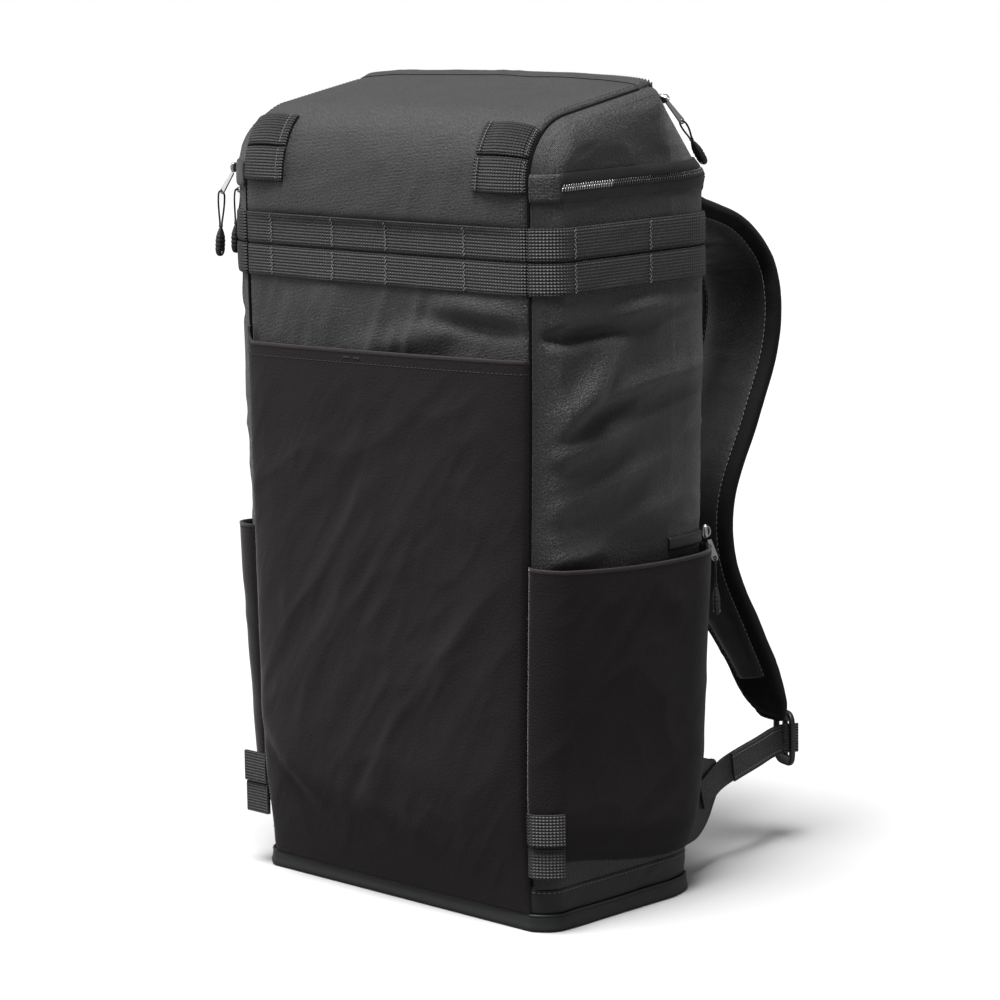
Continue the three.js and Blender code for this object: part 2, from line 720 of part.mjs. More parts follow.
const lowLoopRows = [
  ['upper', lowLoopTop - webWidth],
  ['lower', lowLoopTop - 2 * webWidth - webGap],
];
for (const [row, low] of lowLoopRows) {
  const levels = steps(low, low + webWidth, 4);
  const clearOf = (share, z) => sidePocketLift(share, z) + lowLoopClear + pocketCloth;
  const shares = [...frontTurn.slice(1, 4), lowLoopLaid / bodyDepth];
  const front = frontAt(low + webWidth);
  const seam = new THREE.Vector3(
    seamHalf(low + webWidth) + trimGap, -front - trimGap - pocketCloth, 0,
  );
  const flat = shares.map((share) => {
    const over = levels.map((z) => overSide(1, depthAt(share, z), z, clearOf(share, z)));
    const widest = over.reduce((a, b) => (b.x > a.x ? b : a));
    return new THREE.Vector3(widest.x, widest.y, 0);
  });
  const back = new THREE.Vector3(1, -0.4, 0).normalize();
  foldedBand(`low_loop_right_${row}`, [seam, ...flat], back, low);
  const out = steps(0, lowLoopLength, 3).map((d) => new THREE.Vector3(
    -seamHalf(low) - seamGap - d, -front - lowLoopOff, 0,
  ));
  foldedBand(`low_loop_left_${row}`, out, new THREE.Vector3(0, -1, 0), low);
}

// Side zippers: a tape with its closed coil, and a plain patch over its front end
const zipAt = (share) => sideZipHeight + sideZipRise * share;
const zipRows = [
  [-zipTape / 2, 0],
  [-zipTape / 3, 0],
  [-zipCoil / 2, 0],
  [-zipCoil / 2 + coilEdge, zipCoilProud],
  [zipCoil / 2 - coilEdge, zipCoilProud],
  [zipCoil / 2, 0],
  [zipTape / 3, 0],
  [zipTape / 2, 0],
];
const zipStartShare = sideZipStart / bodyDepth;
const zipShares = [zipStartShare, ...sideShares.filter((share) => share > zipStartShare)];
const patchShares = [
  ...sideShares.filter((share) => share > 0 && share < zipStartShare - seamGap / bodyDepth),
  zipStartShare - 2 * seamGap / bodyDepth,
];

// Height of a line of the tape. At the back corner the tape bends down under the top seam and
// its upper half narrows.
function tapeHeight(share, off) {
  const top = outlineTop(depthAt(share, backTopHeight)) - 1;
  const middle = Math.min(zipAt(share), top - zipCoil);
  const room = Math.min(1, (top - middle) / (zipTape / 2));
  return middle + (off > 0 ? off * room : off);
}

for (const [label, side] of [['right', 1], ['left', -1]]) {
  const tape = (raise) => zipShares.map((share) => zipRows.map(([off, proud]) => {
    const z = tapeHeight(share, off);
    const lift = trimGap + raise * (zipTapeThick + proud);
    return overSide(side, depthAt(share, z), z, lift);
  }));
  addWall(`side_zip_${label}`, 'webbing', tape(1), tape(0));
  const patch = (lift) => patchShares.map((share) => [-0.5, 0.5].map((part) => {
    const z = zipAt(share) + part * patchHeight;
    return overSide(side, depthAt(share, z), z, lift);
  }));
  addWall(`zip_patch_${label}`, 'cloth', patch(2 * seamGap + webThick), patch(2 * seamGap));
}

// Top zipper, over the joint between the front panel and the back top. Its tape lies on the
// end of the one and the turned edge of the other, with the coil along the joint.
const onTop = (off) => ({
  point: topBack.clone().addScaledVector(towardsBack, off), normal: topNormal,
});
const onTurn = (i) => ({ point: slant[i], normal: slantNormal(i) });
const tapeShare = topZipTape / 4 / slant[3].distanceTo(slant[2]);
const zipEdge = [
  { ...onTop(-topZipTape / 2), proud: 0 },
  { ...onTop(-zipCoil / 2), proud: 0 },
  { ...onTop(coilEdge - zipCoil / 2), proud: zipCoilProud },
  { point: topBack, normal: topNormal.clone().add(slantNormal(2)).normalize(), proud: zipCoilProud },
  { ...onTurn(0), proud: zipCoilProud },
  { ...onTurn(1), proud: 0 },
  { ...onTurn(2), proud: 0 },
  { point: slant[2].clone().lerp(slant[3], tapeShare), normal: slantNormal(3), proud: 0 },
];
const topZipGrid = (raise) => acrossFront.map((across) => zipEdge.map((row) => {
  const lift = trimGap + raise * (zipTapeThick + row.proud);
  return overSlant(across, row.point, row.normal, lift);
}));
addWall('top_zip', 'webbing', topZipGrid(1), topZipGrid(0));

// Zipper pulls: a slider, a flat puller with a hole, a loop of cord through the hole and a
// moulded grip. A pull hangs from its slider's seat the way of drop, and off is the other way
// square to its side. A place is how far it is from the seat out, off and down those ways, as
// shares of gripLength. along is the slider's way over its zipper, face its way out of the
// bag, and clear how far from its middle the puller starts, as a share of sliderLength.
const sideways = new THREE.Vector3(1, 0, 0);
const upwards = new THREE.Vector3(0, 0, 1);
const forwards = new THREE.Vector3(0, -1, 0);

// Seat of a slider over the left side zipper: clear of all that its foot covers
function sideSeat(share, lift) {
  const z = tapeHeight(share, 0) + sliderRise;
  const y = depthAt(share, z);
  const foot = [-0.5, 0, 0.5].flatMap((along) => [-0.5, 0, 0.5].map((off) => overSide(
    -1, y + along * sliderLength, z + off * sliderWidth, lift,
  ).x));
  return new THREE.Vector3(Math.min(...foot) - seamGap - sliderHeight / 2, y, z);
}

// Seat at the back corner's seam, over the end of the right side pocket's hem
function cornerSeat() {
  const z = sidePocketHem + pocketSliderRise;
  return new THREE.Vector3(seamHalf(z) + pocketSliderOut, backAt(z) + pocketSliderBack, z);
}

// Seat on the slant, past the end of the top zipper
const slantDown = new THREE.Vector3(0, backTop.x - topBack.x, backTop.y - topBack.y).normalize();
const slantOff = sideways.clone().cross(slantDown);
function slantSeat() {
  const p = new THREE.Vector3(0, topBack.x, topBack.y)
    .addScaledVector(slantDown, topSliderDown)
    .addScaledVector(slantOff, sliderHeight / 2 + 2 * seamGap);
  p.x = seamHalf(p.z) + topSliderOut;
  return p;
}

const pulls = [
  {
    name: 'left_pull_front', side: -1, along: [0, 1, 0], face: [-1, 0, 0], clear: 0.455,
    seat: sideSeat(frontSliderShare, 2 * seamGap + webThick),
    drop: upwards.clone().negate(),
    off: forwards,
    hole: { out: 0.454, off: 0.242, down: 0.818 },
    grip: { out: 0.454, off: 0.323, down: 2.039 },
    tip: { out: 0.496, off: 0.364, down: 3.045 },
  },
  {
    name: 'left_pull_back', side: -1, along: [0, 1, 0], face: [-1, 0, 0], clear: 0.445,
    seat: sideSeat(backSliderShare, trimGap + zipTapeThick + zipCoilProud),
    drop: upwards.clone().negate(),
    off: forwards,
    hole: { out: 0.258, off: 0.323, down: 0.805 },
    grip: { out: 0.175, off: 0.525, down: 1.972 },
    tip: { out: 0.217, off: 0.525, down: 2.951 },
  },
  {
    name: 'pocket_pull', side: 1, along: [0, 0, 1], face: [0.7, 0.7, 0], clear: 0.636,
    seat: cornerSeat(),
    drop: upwards.clone().negate(),
    off: forwards,
    hole: { out: 0.346, off: 0, down: 0.858 },
    grip: { out: 0.344, off: -0.04, down: 1.797 },
    tip: { out: 0.346, off: -0.081, down: 2.817 },
  },
  {
    name: 'top_pull', side: 1, along: [1, 0, 0], face: slantOff.toArray(), clear: 0.391,
    seat: slantSeat(),
    drop: slantDown,
    off: slantOff,
    hole: { out: 0.088, off: 0.103, down: 1.081 },
    grip: { out: 0.129, off: 0.049, down: 1.862 },
    tip: { out: 0.171, off: 0.003, down: 2.77 },
  },
];

const sliderStations = [
  { at: -0.5, wide: 0.6, high: 0.6 },
  { at: -0.32, wide: 1, high: 0.9 },
  { at: 0.2, wide: 0.9, high: 1 },
  { at: 0.5, wide: 0.55, high: 0.7 },
];
const gripStations = [
  { at: 0, wide: 0.6, high: 0.6 },
  { at: 0.08, wide: 0.9, high: 0.9 },
  { at: 0.75, wide: 1, high: 1 },
  { at: 1, wide: 0.6, high: 0.55 },
];
const pullerWidth = 5;
const pullerThick = 1.4;
const pullerHole = 3.5;
const pullerEnd = 2.6;           // middle of the hole to the puller's end
const pullerTaper = 0.6;         // its width at the slider, as a share of pullerWidth
const cordApart = 0.7;           // a cord's ends off the loop's middle, in diameters
const cordPitch = 4.2;           // length of one step of a cord's tube
const cordSides = 8;

function addPull({
  name, side, along, face, clear, seat, drop, off, hole, grip, tip,
}) {
  const placeOf = (place) => seat.clone()
    .addScaledVector(sideways, side * place.out * gripLength)
    .addScaledVector(off, place.off * gripLength)
    .addScaledVector(drop, place.down * gripLength);
  const eye = placeOf(hole);
  const neck = placeOf(grip);
  const down = eye.clone().sub(seat).normalize();
  const outward = new THREE.Vector3(...face);
  outward.addScaledVector(down, -outward.dot(down)).normalize();
  const across = down.clone().cross(outward);

  const way = new THREE.Vector3(...along);
  const up = new THREE.Vector3(...face).normalize();
  const broad = way.clone().cross(up);
  addBar(`${name}_slider`, 'metal', sliderStations.map(({ at, wide, high }) => ({
    middle: seat.clone().addScaledVector(way, at * sliderLength),
    across: broad, through: up, width: wide * sliderWidth, thick: high * sliderHeight,
  })), softSection);

  // The puller stands edge-on, its plane holding the way down and the way out
  const length = eye.distanceTo(seat);
  const half = pullerWidth / 2;
  const plate = new THREE.Shape();
  const start = clear * sliderLength;
  plate.moveTo(start, -half * pullerTaper);
  plate.lineTo(length - pullerEnd, -half);
  plate.absarc(length, 0, pullerEnd, -Math.PI / 2, Math.PI / 2, false);
  plate.lineTo(length - pullerEnd, half);
  plate.lineTo(start, half * pullerTaper);
  plate.closePath();
  const ring = new THREE.Path();
  ring.absarc(length, 0, pullerHole / 2, 0, 2 * Math.PI, false);
  plate.holes.push(ring);
  const frame = new THREE.Matrix4().makeBasis(down, outward, across);
  frame.setPosition(seat.clone().addScaledVector(across, -pullerThick / 2));
  addGeometry(`${name}_puller`, 'metal', [{
    geometry: new THREE.ExtrudeGeometry(plate, {
      depth: pullerThick, bevelEnabled: false, curveSegments: 6,
    }),
    matrix: frame,
  }]);

  const hang = neck.clone().sub(eye).normalize();
  const reach = neck.distanceTo(eye) - 3 * seamGap;
  const strand = (sign) => [[0.9, 0.35], [0.5, 0.8], [0.25, 1]].map(([share, wide]) => eye.clone()
    .addScaledVector(hang, cordLoopHalf + share * (reach - cordLoopHalf))
    .addScaledVector(across, sign * wide * cordLoopHalf));
  const turn = steps(0, Math.PI, 6).map((angle) => eye.clone()
    .addScaledVector(hang, cordLoopHalf * (1 - Math.sin(angle)))
    .addScaledVector(across, -cordLoopHalf * Math.cos(angle)));
  const end = (sign) => eye.clone().addScaledVector(hang, reach)
    .addScaledVector(across, sign * cordDiameter * cordApart);
  const loop = new THREE.CatmullRomCurve3([
    end(-1), ...strand(-1), ...turn, ...strand(1).reverse(), end(1),
  ], false, 'centripetal');
  const round = new THREE.Shape();
  round.absarc(0, 0, cordDiameter / 2, 0, 2 * Math.PI, false);
  addGeometry(`${name}_cord`, 'webbing', [{
    geometry: new THREE.ExtrudeGeometry(round, {
      steps: Math.ceil(loop.getLength() / cordPitch), extrudePath: loop,
      curveSegments: cordSides / 2, bevelEnabled: false,
    }),
    matrix: new THREE.Matrix4(),
  }]);

  const gripWay = placeOf(tip).sub(neck).normalize();
  const flat = across.clone().addScaledVector(gripWay, -across.dot(gripWay)).normalize();
  const through = gripWay.clone().cross(flat);
  addBar(`${name}_grip`, 'rubber', gripStations.map(({ at, wide, high }) => ({
    middle: neck.clone().addScaledVector(gripWay, at * gripLength),
    across: flat, through, width: wide * gripWidth, thick: high * gripThick,
  })), softSection);
}
pulls.forEach(addPull);

// Shoulder straps. A row is a place on a strap's middle line: its distance from the middle
// plane as a share of baseHalfWidth, its depth as a share of strapReach, its height as a share
// of bodyHeight, its width and thickness as shares of the strap's, and its roll in degrees.
const strapRows = [
  { out: 0.54, deep: 0.4195, up: 0.851, wide: 1, thick: 0.7, roll: 18 },
  { out: 0.55, deep: 0.54, up: 0.849, wide: 1, thick: 1, roll: 18 },
  { out: 0.56, deep: 0.67, up: 0.833, wide: 1, thick: 1, roll: 18 },
  { out: 0.59, deep: 0.845, up: 0.811, wide: 1, thick: 1, roll: 14 },
  { out: 0.62, deep: 0.965, up: 0.769, wide: 1, thick: 1, roll: 7 },
  { out: 0.643, deep: 1, up: 0.722, wide: 1, thick: 1, roll: 0 },
  { out: 0.638, deep: 0.984, up: 0.658, wide: 1, thick: 1, roll: 0 },
  { out: 0.628, deep: 0.892, up: 0.572, wide: 0.97, thick: 1, roll: 0 },
  { out: 0.618, deep: 0.765, up: 0.466, wide: 0.94, thick: 1, roll: 0 },
  { out: 0.625, deep: 0.775, up: 0.39, wide: 0.9, thick: 1, roll: 0 },
  { out: 0.689, deep: 0.885, up: 0.297, wide: 0.79, thick: 1, roll: 0 },
  { out: 0.726, deep: 0.958, up: 0.241, wide: 0.73, thick: 1, roll: 0 },
  { out: 0.766, deep: 1.004, up: 0.193, wide: 0.6, thick: 0.85, roll: 0 },
  { out: 0.75, deep: 1.05, up: 0.166, wide: 0.36, thick: 0.45, roll: 0 },
];
const strapSteps = 30;
const faceFrom = 1;              // the grey face leaves out this many steps at the top
const faceTo = 27;               // and ends at this one

const strapSpine = new THREE.CatmullRomCurve3(strapRows.map(({ out, deep, up }) => (
  new THREE.Vector3(out * baseHalfWidth, deep * strapReach, up * bodyHeight)
)), false, 'centripetal');
const strapForm = new THREE.CatmullRomCurve3(strapRows.map(({ wide, thick, roll }) => (
  new THREE.Vector3(wide, thick, roll)
)), false, 'catmullrom', 0.5);
const strapStations = steps(0, 1, strapSteps).map((t) => {
  const middle = strapSpine.getPoint(t);
  const along = strapSpine.getTangent(t);
  const { x: wide, y: thick, z: roll } = strapForm.getPoint(t);
  const across = new THREE.Vector3(1, 0, 0).addScaledVector(along, -along.x).normalize();
  across.applyAxisAngle(along, -THREE.MathUtils.degToRad(roll));
  return { middle, across, through: along.clone().cross(across), wide, thick };
});

const mirrored = (v, side) => new THREE.Vector3(side * v.x, v.y, v.z);
const strapSide = (stations, side) => stations.map((s) => ({
  ...s,
  middle: mirrored(s.middle, side),
  across: mirrored(s.across, side),
  through: mirrored(s.through, side),
}));
const padStations = strapStations.map((s) => ({
  ...s, width: s.wide * strapWidth, thick: s.thick * strapThick,
}));
const faceStations = strapStations.slice(faceFrom, faceTo).map((s) => ({
  ...s,
  middle: s.middle.clone().addScaledVector(
    s.through, s.thick * strapThick / 2 + 2 * seamGap + strapFaceThick / 2,
  ),
  width: s.wide * strapWidth - 2 * strapFaceInset,
  thick: strapFaceThick,
}));

// Buckle: a ladder frame with two slots, standing across the webbing's way
const buckleTurn = THREE.MathUtils.degToRad(20.5);
const buckleAlong = new THREE.Vector3(Math.cos(buckleTurn), -Math.sin(buckleTurn), 0);
const buckleOut = new THREE.Vector3(Math.sin(buckleTurn), Math.cos(buckleTurn), 0);
const padEnd = strapStations.at(-1).middle;
const padFront = Math.max(...padStations.slice(-3).flatMap((s) => softSection.map(
  ([u, v]) => s.middle.clone()
    .addScaledVector(s.across, u * s.width / 2)
    .addScaledVector(s.through, v * s.thick / 2)
    .dot(buckleOut),
)));
const buckleMiddle = padEnd.clone()
  .addScaledVector(buckleOut, padFront - padEnd.dot(buckleOut) + buckleThick / 2 + buckleGap)
  .addScaledVector(buckleAlong, buckleShift)
  .addScaledVector(upwards, -buckleDrop);

const oblong = (x0, x1, high) => [[x0, -high], [x1, -high], [x1, high], [x0, high]]
  .map(([x, y]) => new THREE.Vector2(x, y));

function buckleGeometry() {
  const [x, y] = [buckleWidth / 2, buckleLength / 2];
  const cut = buckleCorner;
  const shape = new THREE.Shape([
    [cut - x, -y], [x - cut, -y], [x, cut - y], [x, y - cut],
    [x - cut, y], [cut - x, y], [-x, y - cut], [-x, cut - y],
  ].map(([across, up]) => new THREE.Vector2(across, up)));
  const webSlot = oblong(buckleBar / 2, buckleBar / 2 + buckleSlot, webWidth / 2 + 2);
  const padSlot = oblong(-buckleBar / 2 - buckleSlot, -buckleBar / 2, webWidth / 2 + 1);
  shape.holes.push(new THREE.Path(webSlot), new THREE.Path(padSlot));
  return new THREE.ExtrudeGeometry(shape, { depth: buckleThick, bevelEnabled: false });
}

// Anchor wing: a stiff flap from the back corner's seam. Its edge is given as the reach from
// the back face and the rise above its foot, as shares of wingReach and of the wing's height.
const wingAlong = new THREE.Vector3(-Math.sin(wingTurn), Math.cos(wingTurn), 0);
const wingOut = new THREE.Vector3(Math.cos(wingTurn), Math.sin(wingTurn), 0);
const wingFoot = new THREE.Vector3(
  seamHalf(wingLow) - anchorWall - seamGap, baseBackDepth, 0,
);
const wingEdge = [
  { reach: 0.45, up: 0.03 },
  { reach: 0.68, up: 0.15 },
  { reach: 0.86, up: 0.35 },
  { reach: 1, up: 0.56 },
  { reach: 0.92, up: 0.85 },
  { reach: 0.74, up: 0.91 },
  { reach: 0.56, up: 0.96 },
];

function wingGeometry() {
  const high = wingTop - wingLow;
  const seam = steps(wingTop, wingLow, 4).map((z) => new THREE.Vector2(
    (backAt(z) - baseBackDepth + wingClear) / Math.cos(wingTurn), z,
  ));
  const edge = wingEdge.map(({ reach, up }) => new THREE.Vector2(
    reach * wingReach, wingLow + up * high,
  ));
  const shape = new THREE.Shape([...seam, ...edge]);
  return new THREE.ExtrudeGeometry(shape, { depth: anchorWall, bevelEnabled: false });
}

// Lower webbing: sewn to the wing's outer face, then on to the buckle and through its slot
const onWing = (share, z) => wingFoot.clone()
  .addScaledVector(wingAlong, share * wingReach)
  .addScaledVector(wingOut, anchorWall + 2 * seamGap + webThick / 2)
  .setZ(z);
const slotMiddle = buckleMiddle.clone()
  .addScaledVector(buckleAlong, (buckleBar + buckleSlot) / 2);
const webHeight = (share) => lerp(webAnchorHeight, slotMiddle.z, Math.sin(share * Math.PI / 2));
const webSpine = new THREE.CatmullRomCurve3([
  onWing(0.5, webHeight(0)),
  onWing(0.75, webHeight(0.17)),
  onWing(1, webHeight(0.34)),
  onWing(1, 0).lerp(slotMiddle, 0.5).setZ(webHeight(0.68)),
  slotMiddle.clone().addScaledVector(buckleOut, -2 * buckleThick),
  slotMiddle.clone().addScaledVector(buckleOut, webPast),
], false, 'centripetal');

function webStations(from, to, count, lift, thick) {
  return steps(from, to, count).map((t) => {
    const along = webSpine.getTangent(t);
    const across = upwards.clone().addScaledVector(along, -along.z).normalize();
    const through = along.clone().cross(across);
    const middle = webSpine.getPoint(t).addScaledVector(through, lift);
    return { middle, across, through, width: webWidth, thick };
  });
}

for (const [label, side] of [['right', 1], ['left', -1]]) {
  addBar(`strap_pad_${label}`, 'padding', strapSide(padStations, side), softSection);
  addBar(`strap_face_${label}`, 'mesh', strapSide(faceStations, side), flatSection);

  const flip = new THREE.Matrix4().makeScale(side, 1, 1);
  const buckle = new THREE.Matrix4().makeBasis(buckleAlong, upwards, buckleOut);
  buckle.setPosition(buckleMiddle.clone().addScaledVector(buckleOut, -buckleThick / 2));
  addGeometry(`buckle_${label}`, 'plastic', [{
    geometry: buckleGeometry(), matrix: buckle.premultiply(flip),
  }]);

  const wing = new THREE.Matrix4().makeBasis(wingAlong, upwards, wingOut);
  wing.setPosition(wingFoot);
  addGeometry(`webbing_anchor_${label}`, 'coated', [{
    geometry: wingGeometry(), matrix: wing.premultiply(flip),
  }]);

  const main = webStations(0, 1, 16, 0, webThick);
  addBar(`lower_webbing_${label}`, 'webbing', strapSide(main, side), flatSection);
  const tail = webStations(tailFrom, tailTo, 5, webThick + 2 * seamGap, webThick);
  addBar(`webbing_tail_${label}`, 'webbing', strapSide(tail, side), flatSection);
}

// Folded tab on the side panel, over the right pocket's back corner
const tabGrid = (lift) => steps(tabFrom, tabTo, 5).map((share) => {
  const low = sidePocketHemAt(share) + tabRise;
  return steps(low, low + tabHeight, 2).map((z) => overSide(1, depthAt(share, z), z, lift));
});
addWall('pocket_tab_right', 'coated', tabGrid(seamGap + tabThick), tabGrid(seamGap));

export default backpack;
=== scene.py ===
"""A tall camera backpack on its base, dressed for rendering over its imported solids.

Shapes are worked out in millimetres in the upright bag, then leaned with their height and
turned to metres. +Z is up, the front faces -Y and the shoulder straps are on the +Y side.
"""
import math

import bpy
import numpy as np
from mathutils import Matrix, Vector


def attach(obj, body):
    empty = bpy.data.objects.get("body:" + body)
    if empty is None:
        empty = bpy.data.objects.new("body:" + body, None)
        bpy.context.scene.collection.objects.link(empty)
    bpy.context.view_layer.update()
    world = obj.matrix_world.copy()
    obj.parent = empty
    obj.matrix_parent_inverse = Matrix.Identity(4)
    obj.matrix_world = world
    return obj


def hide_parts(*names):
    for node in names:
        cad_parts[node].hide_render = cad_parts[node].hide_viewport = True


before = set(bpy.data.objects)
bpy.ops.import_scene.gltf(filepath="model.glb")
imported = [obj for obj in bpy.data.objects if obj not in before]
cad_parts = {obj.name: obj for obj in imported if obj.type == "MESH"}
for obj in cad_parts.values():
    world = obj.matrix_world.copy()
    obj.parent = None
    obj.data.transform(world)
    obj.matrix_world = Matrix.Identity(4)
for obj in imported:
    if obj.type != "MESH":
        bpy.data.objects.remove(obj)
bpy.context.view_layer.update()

bl_info = {
    "name": "Camera backpack",
    "version": (1, 0, 0),
    "blender": (4, 5, 0),
    "location": "3D View > Sidebar > Backpack",
    "description": "Builds the cloth, webbing, zippers and straps of a tall camera backpack",
    "category": "Add Mesh",
}

# Named sizes of the bag and its sewing, in millimetres, radians or shares
BASE_HALF, SEAM_FLARE, FLARE_TOP, SIDE_LEAN = 142.5, 11.0, 500.0, 11.0
FRONT_DEPTH, FRONT_TUCK, TUCK_TOP = 97.0, 5.0, 120.0
BACK_DEPTH, BACK_FLARE, BACK_FLARE_TOP = 85.0, 14.0, 120.0
SIDE_BULGE, BASE_BULGE, LEFT_BULGE = 19.0, 14.0, 5.0
FRONT_ROUND, BACK_ROUND = 19.0, 38.0
FRONT_CROWN, TOP_CROWN = 5.0, 8.0
PANEL_WALL, SEAM_GAP, TRIM_GAP, SEAM_GROOVE = 3.0, 0.3, 0.9, 1.8
FRONT_TOP, TOP_RADIUS, TOP_SLOPE = 575.0, 50.0, 0.2
TOP_BACK_DEPTH, TOP_EDGE, BACK_TOP, BACK_HEM = 42.0, 8.0, 576.0, 14.0
WELT_HEIGHT, BAND_HEIGHT, BAND_WALL, BASE_INSET = 12.0, 33.0, 2.5, 3.0
POCKET_CLOTH, POCKET_HEM, HEM_RISE, HEM_EAR, POCKET_CORNER = 1.5, 436.0, 6.0, 12.0, 0.06
# A pocket's rise as a share of its height, its fullness and its gape at the hem
FRONT_POCKET, SIDE_POCKET = (0.3, 15.0, 8.0), (0.14, 11.0, 16.0)
SIDE_HEM, SIDE_SAG, FLOOR_FRONT, FLOOR_BACK = 285.0, 6.0, 54.0, 36.0
WEB_WIDTH, WEB_THICK, WEB_GAP, WEB_TOP, WEB_RISE = 25.0, 1.6, 1.0, 541.5, 5.0
LOOP_LENGTH, LOOP_LIFT, LOOP_ALONG, LOOP_THICK = 50.0, 3.0, -8.0, 2.0
LOW_TOP, LOW_LENGTH, LOW_LAID, LOW_OFF = 95.0, 24.0, 15.0, 4.0
LOW_CLEAR, LOW_SLIT, LOW_LAYER, LOW_BEND = 2.2, 0.6, 1.4, (1.33, 5.51, 12.16)
ZIP_TAPE, ZIP_THICK, ZIP_COIL, COIL_PROUD = 22.0, 1.0, 5.0, 2.2
ZIP_HEIGHT, ZIP_RISE = 571.0, 6.0
PATCH_HEIGHT, PATCH_LENGTH, TOP_TAPE = 21.0, 15.0, 20.0
SLIDER_LENGTH, SLIDER_WIDTH, SLIDER_HEIGHT = 11.0, 8.0, 6.0
BRIDGE_WIDTH, BRIDGE_THICK, BRIDGE_RISE = 2.6, 1.1, 2.4
FRONT_PULL_SHARE, BACK_PULL_SHARE, SLIDER_UP = 0.079, 0.168, 3.0
CORNER_UP, CORNER_OUT, CORNER_BACK = 4.7, 9.0, 4.8
TOP_SLIDER_DOWN, TOP_SLIDER_OUT = 14.7, 5.9
# Half sizes of a coil turn, and the front share of the side coils that is bright metal as a painted
# highlight
TOOTH_SIZE, HIGHLIGHT_SHARE = (1.5, 0.62, 0.75), 0.3
CORD_DIAMETER, CORD_LOOP = 1.6, 3.4
GRIP_LENGTH, GRIP_WIDTH, GRIP_THICK = 24.0, 8.0, 5.0
STRAP_WIDTH, STRAP_THICK, FACE_INSET, STRAP_REACH, STRAP_SPREAD = 70.0, 14.0, 13.0, 240.0, 12.0
TAIL_SEAM, TAB_LOW, TAB_HEIGHT = 9.0, 3.0, 11.0
STRAP_RUN, FACE_SPREAD, EDGE_SEAM, EDGE_LIFT = 640.0, 2.5, 1.0, 0.55
BUCKLE_LENGTH, BUCKLE_WIDTH, BUCKLE_THICK, BUCKLE_BAR, BUCKLE_SLOT = 48.0, 30.0, 4.5, 5.0, 6.0
BUCKLE_RIM, BUCKLE_END, BUCKLE_CLEAR, BUCKLE_ASIDE, BUCKLE_DROP = 4.6, 9.0, 0.4, 5.0, 18.0
WING_TURN, WING_LOW, WING_TOP, WING_REACH, WING_CLEAR, WING_WALL = 0.2, 30.0, 100.0, 72.0, 1.2, 3.0

SIDES = (("right", 1), ("left", -1))
AHEAD, UP = np.array([0, -1.0, 0]), np.array([0, 0, 1.0])
# The welt's profile: heights, and how far it stands out at each; its piping's middle and radius
WELT_PROFILE = np.array([
    (0, 2.6), (0.5, 3.4), (1.4, 3.9), (2.6, 4.0), (4.2, 3.7), (6, 3.2), (8, 2.9), (9.6, 2.8),
    (10.8, 2.6), (11.6, 2.1), (12, 1.4),
])
PIPING_AT, PIPING_RADIUS = np.array([12.1, 1.7]), 1.25
# Kinds of stitch: length, gap between two, half width and half height
STITCHES = {
    "base": (2.6, 1.5, 0.3, 0.25), "panel": (2.6, 1.4, 0.3, 0.22), "pocket": (2.8, 1.5, 0.3, 0.22),
    "hem tack": (1.5, 0.2, 0.3, 0.3), "web tack": (1.6, 0.5, 0.42, 0.42),
    "loop tack": (2.0, 0.6, 0.34, 0.3), "strap": (3.0, 1.5, 0.32, 0.28), "tail": (2.6, 1.6, 0.3, 0.24),
}
WEB_FULLNESS, RIGHT_FOLD_SHARE, LEFT_FOLD_SHARE = 5.0, 2.6, 0.9
STITCH_LIFT, TACK_LIFT, TACK_INSET, ZIGZAG_PITCH, ZIGZAG_REACH = 0.15, 0.35, 1.5, 1.5, 1.2
SEAM_OFF, ROLL_OUT, ROLL_DEEP, PAD_ROW, PAD_HIGH = 5.0, 0.35, 0.2, 105.0, 4.5
HEM_STITCH_DROP, BAND_SEAM_DROP, SEAM_ROLL_WIDTH, SEAM_ROLL_HEIGHT = 7.5, 2.6, 2.8, 2.6


# Shapes as functions of where a point lies


def smooth(t):
    """3 t^2 - 2 t^3 between 0 and 1, flat outside."""
    t = np.clip(t, 0, 1)
    return t * t * (3 - 2 * t)


def lerp(a, b, t):
    """The straight mix of a and b: a at t = 0, b at t = 1."""
    return a + (b - a) * t


def bump(distance, reach):
    """A bell, exp(-(distance / reach)^2)."""
    return np.exp(-(distance / reach) ** 2)


def lattice(u, v, seed):
    """Value noise: seeded heights on a unit lattice, joined by a smooth step each way."""
    table = np.random.default_rng(seed).random((97, 97)) * 2 - 1
    iu, iv = np.floor(u).astype(int), np.floor(v).astype(int)
    fu, fv = smooth(u - iu), smooth(v - iv)
    at = lambda i, j: table[i % 97, j % 97]
    low = lerp(at(iu, iv), at(iu + 1, iv), fu)
    high = lerp(at(iu, iv + 1), at(iu + 1, iv + 1), fu)
    return lerp(low, high, fv)


def crumple(u, v, size, turn, stretch, seed):
    """Soft wrinkles: 1 - 2 |noise| over two octaves, drawn out along a turned direction."""
    c, s = math.cos(math.radians(turn)), math.sin(math.radians(turn))
    along, off = (u * c + v * s) / (size * stretch), (v * c - u * s) / size
    warp = 0.5 * lattice(along * 0.7 + 9, off * 0.7, seed + 1)
    first = 1 - 2 * np.abs(lattice(along + warp, off + warp, seed))
    second = 1 - 2 * np.abs(lattice(2.1 * along + 5, 2.1 * off + warp, seed + 2))
    return 0.7 * first + 0.3 * second


def seam_half(z):
    """Half the width between the side seams: the base's half and a flare that eases in with height."""
    return BASE_HALF + SEAM_FLARE * smooth(z / FLARE_TOP)


def back_at(z):
    """Depth of the back: the base's and a flare that eases in with height."""
    return BACK_DEPTH + BACK_FLARE * smooth(z / BACK_FLARE_TOP)


def front_at(z):
    """Depth of the front, tucked in towards the base."""
    return FRONT_DEPTH - FRONT_TUCK * (1 - smooth(z / TUCK_TOP))


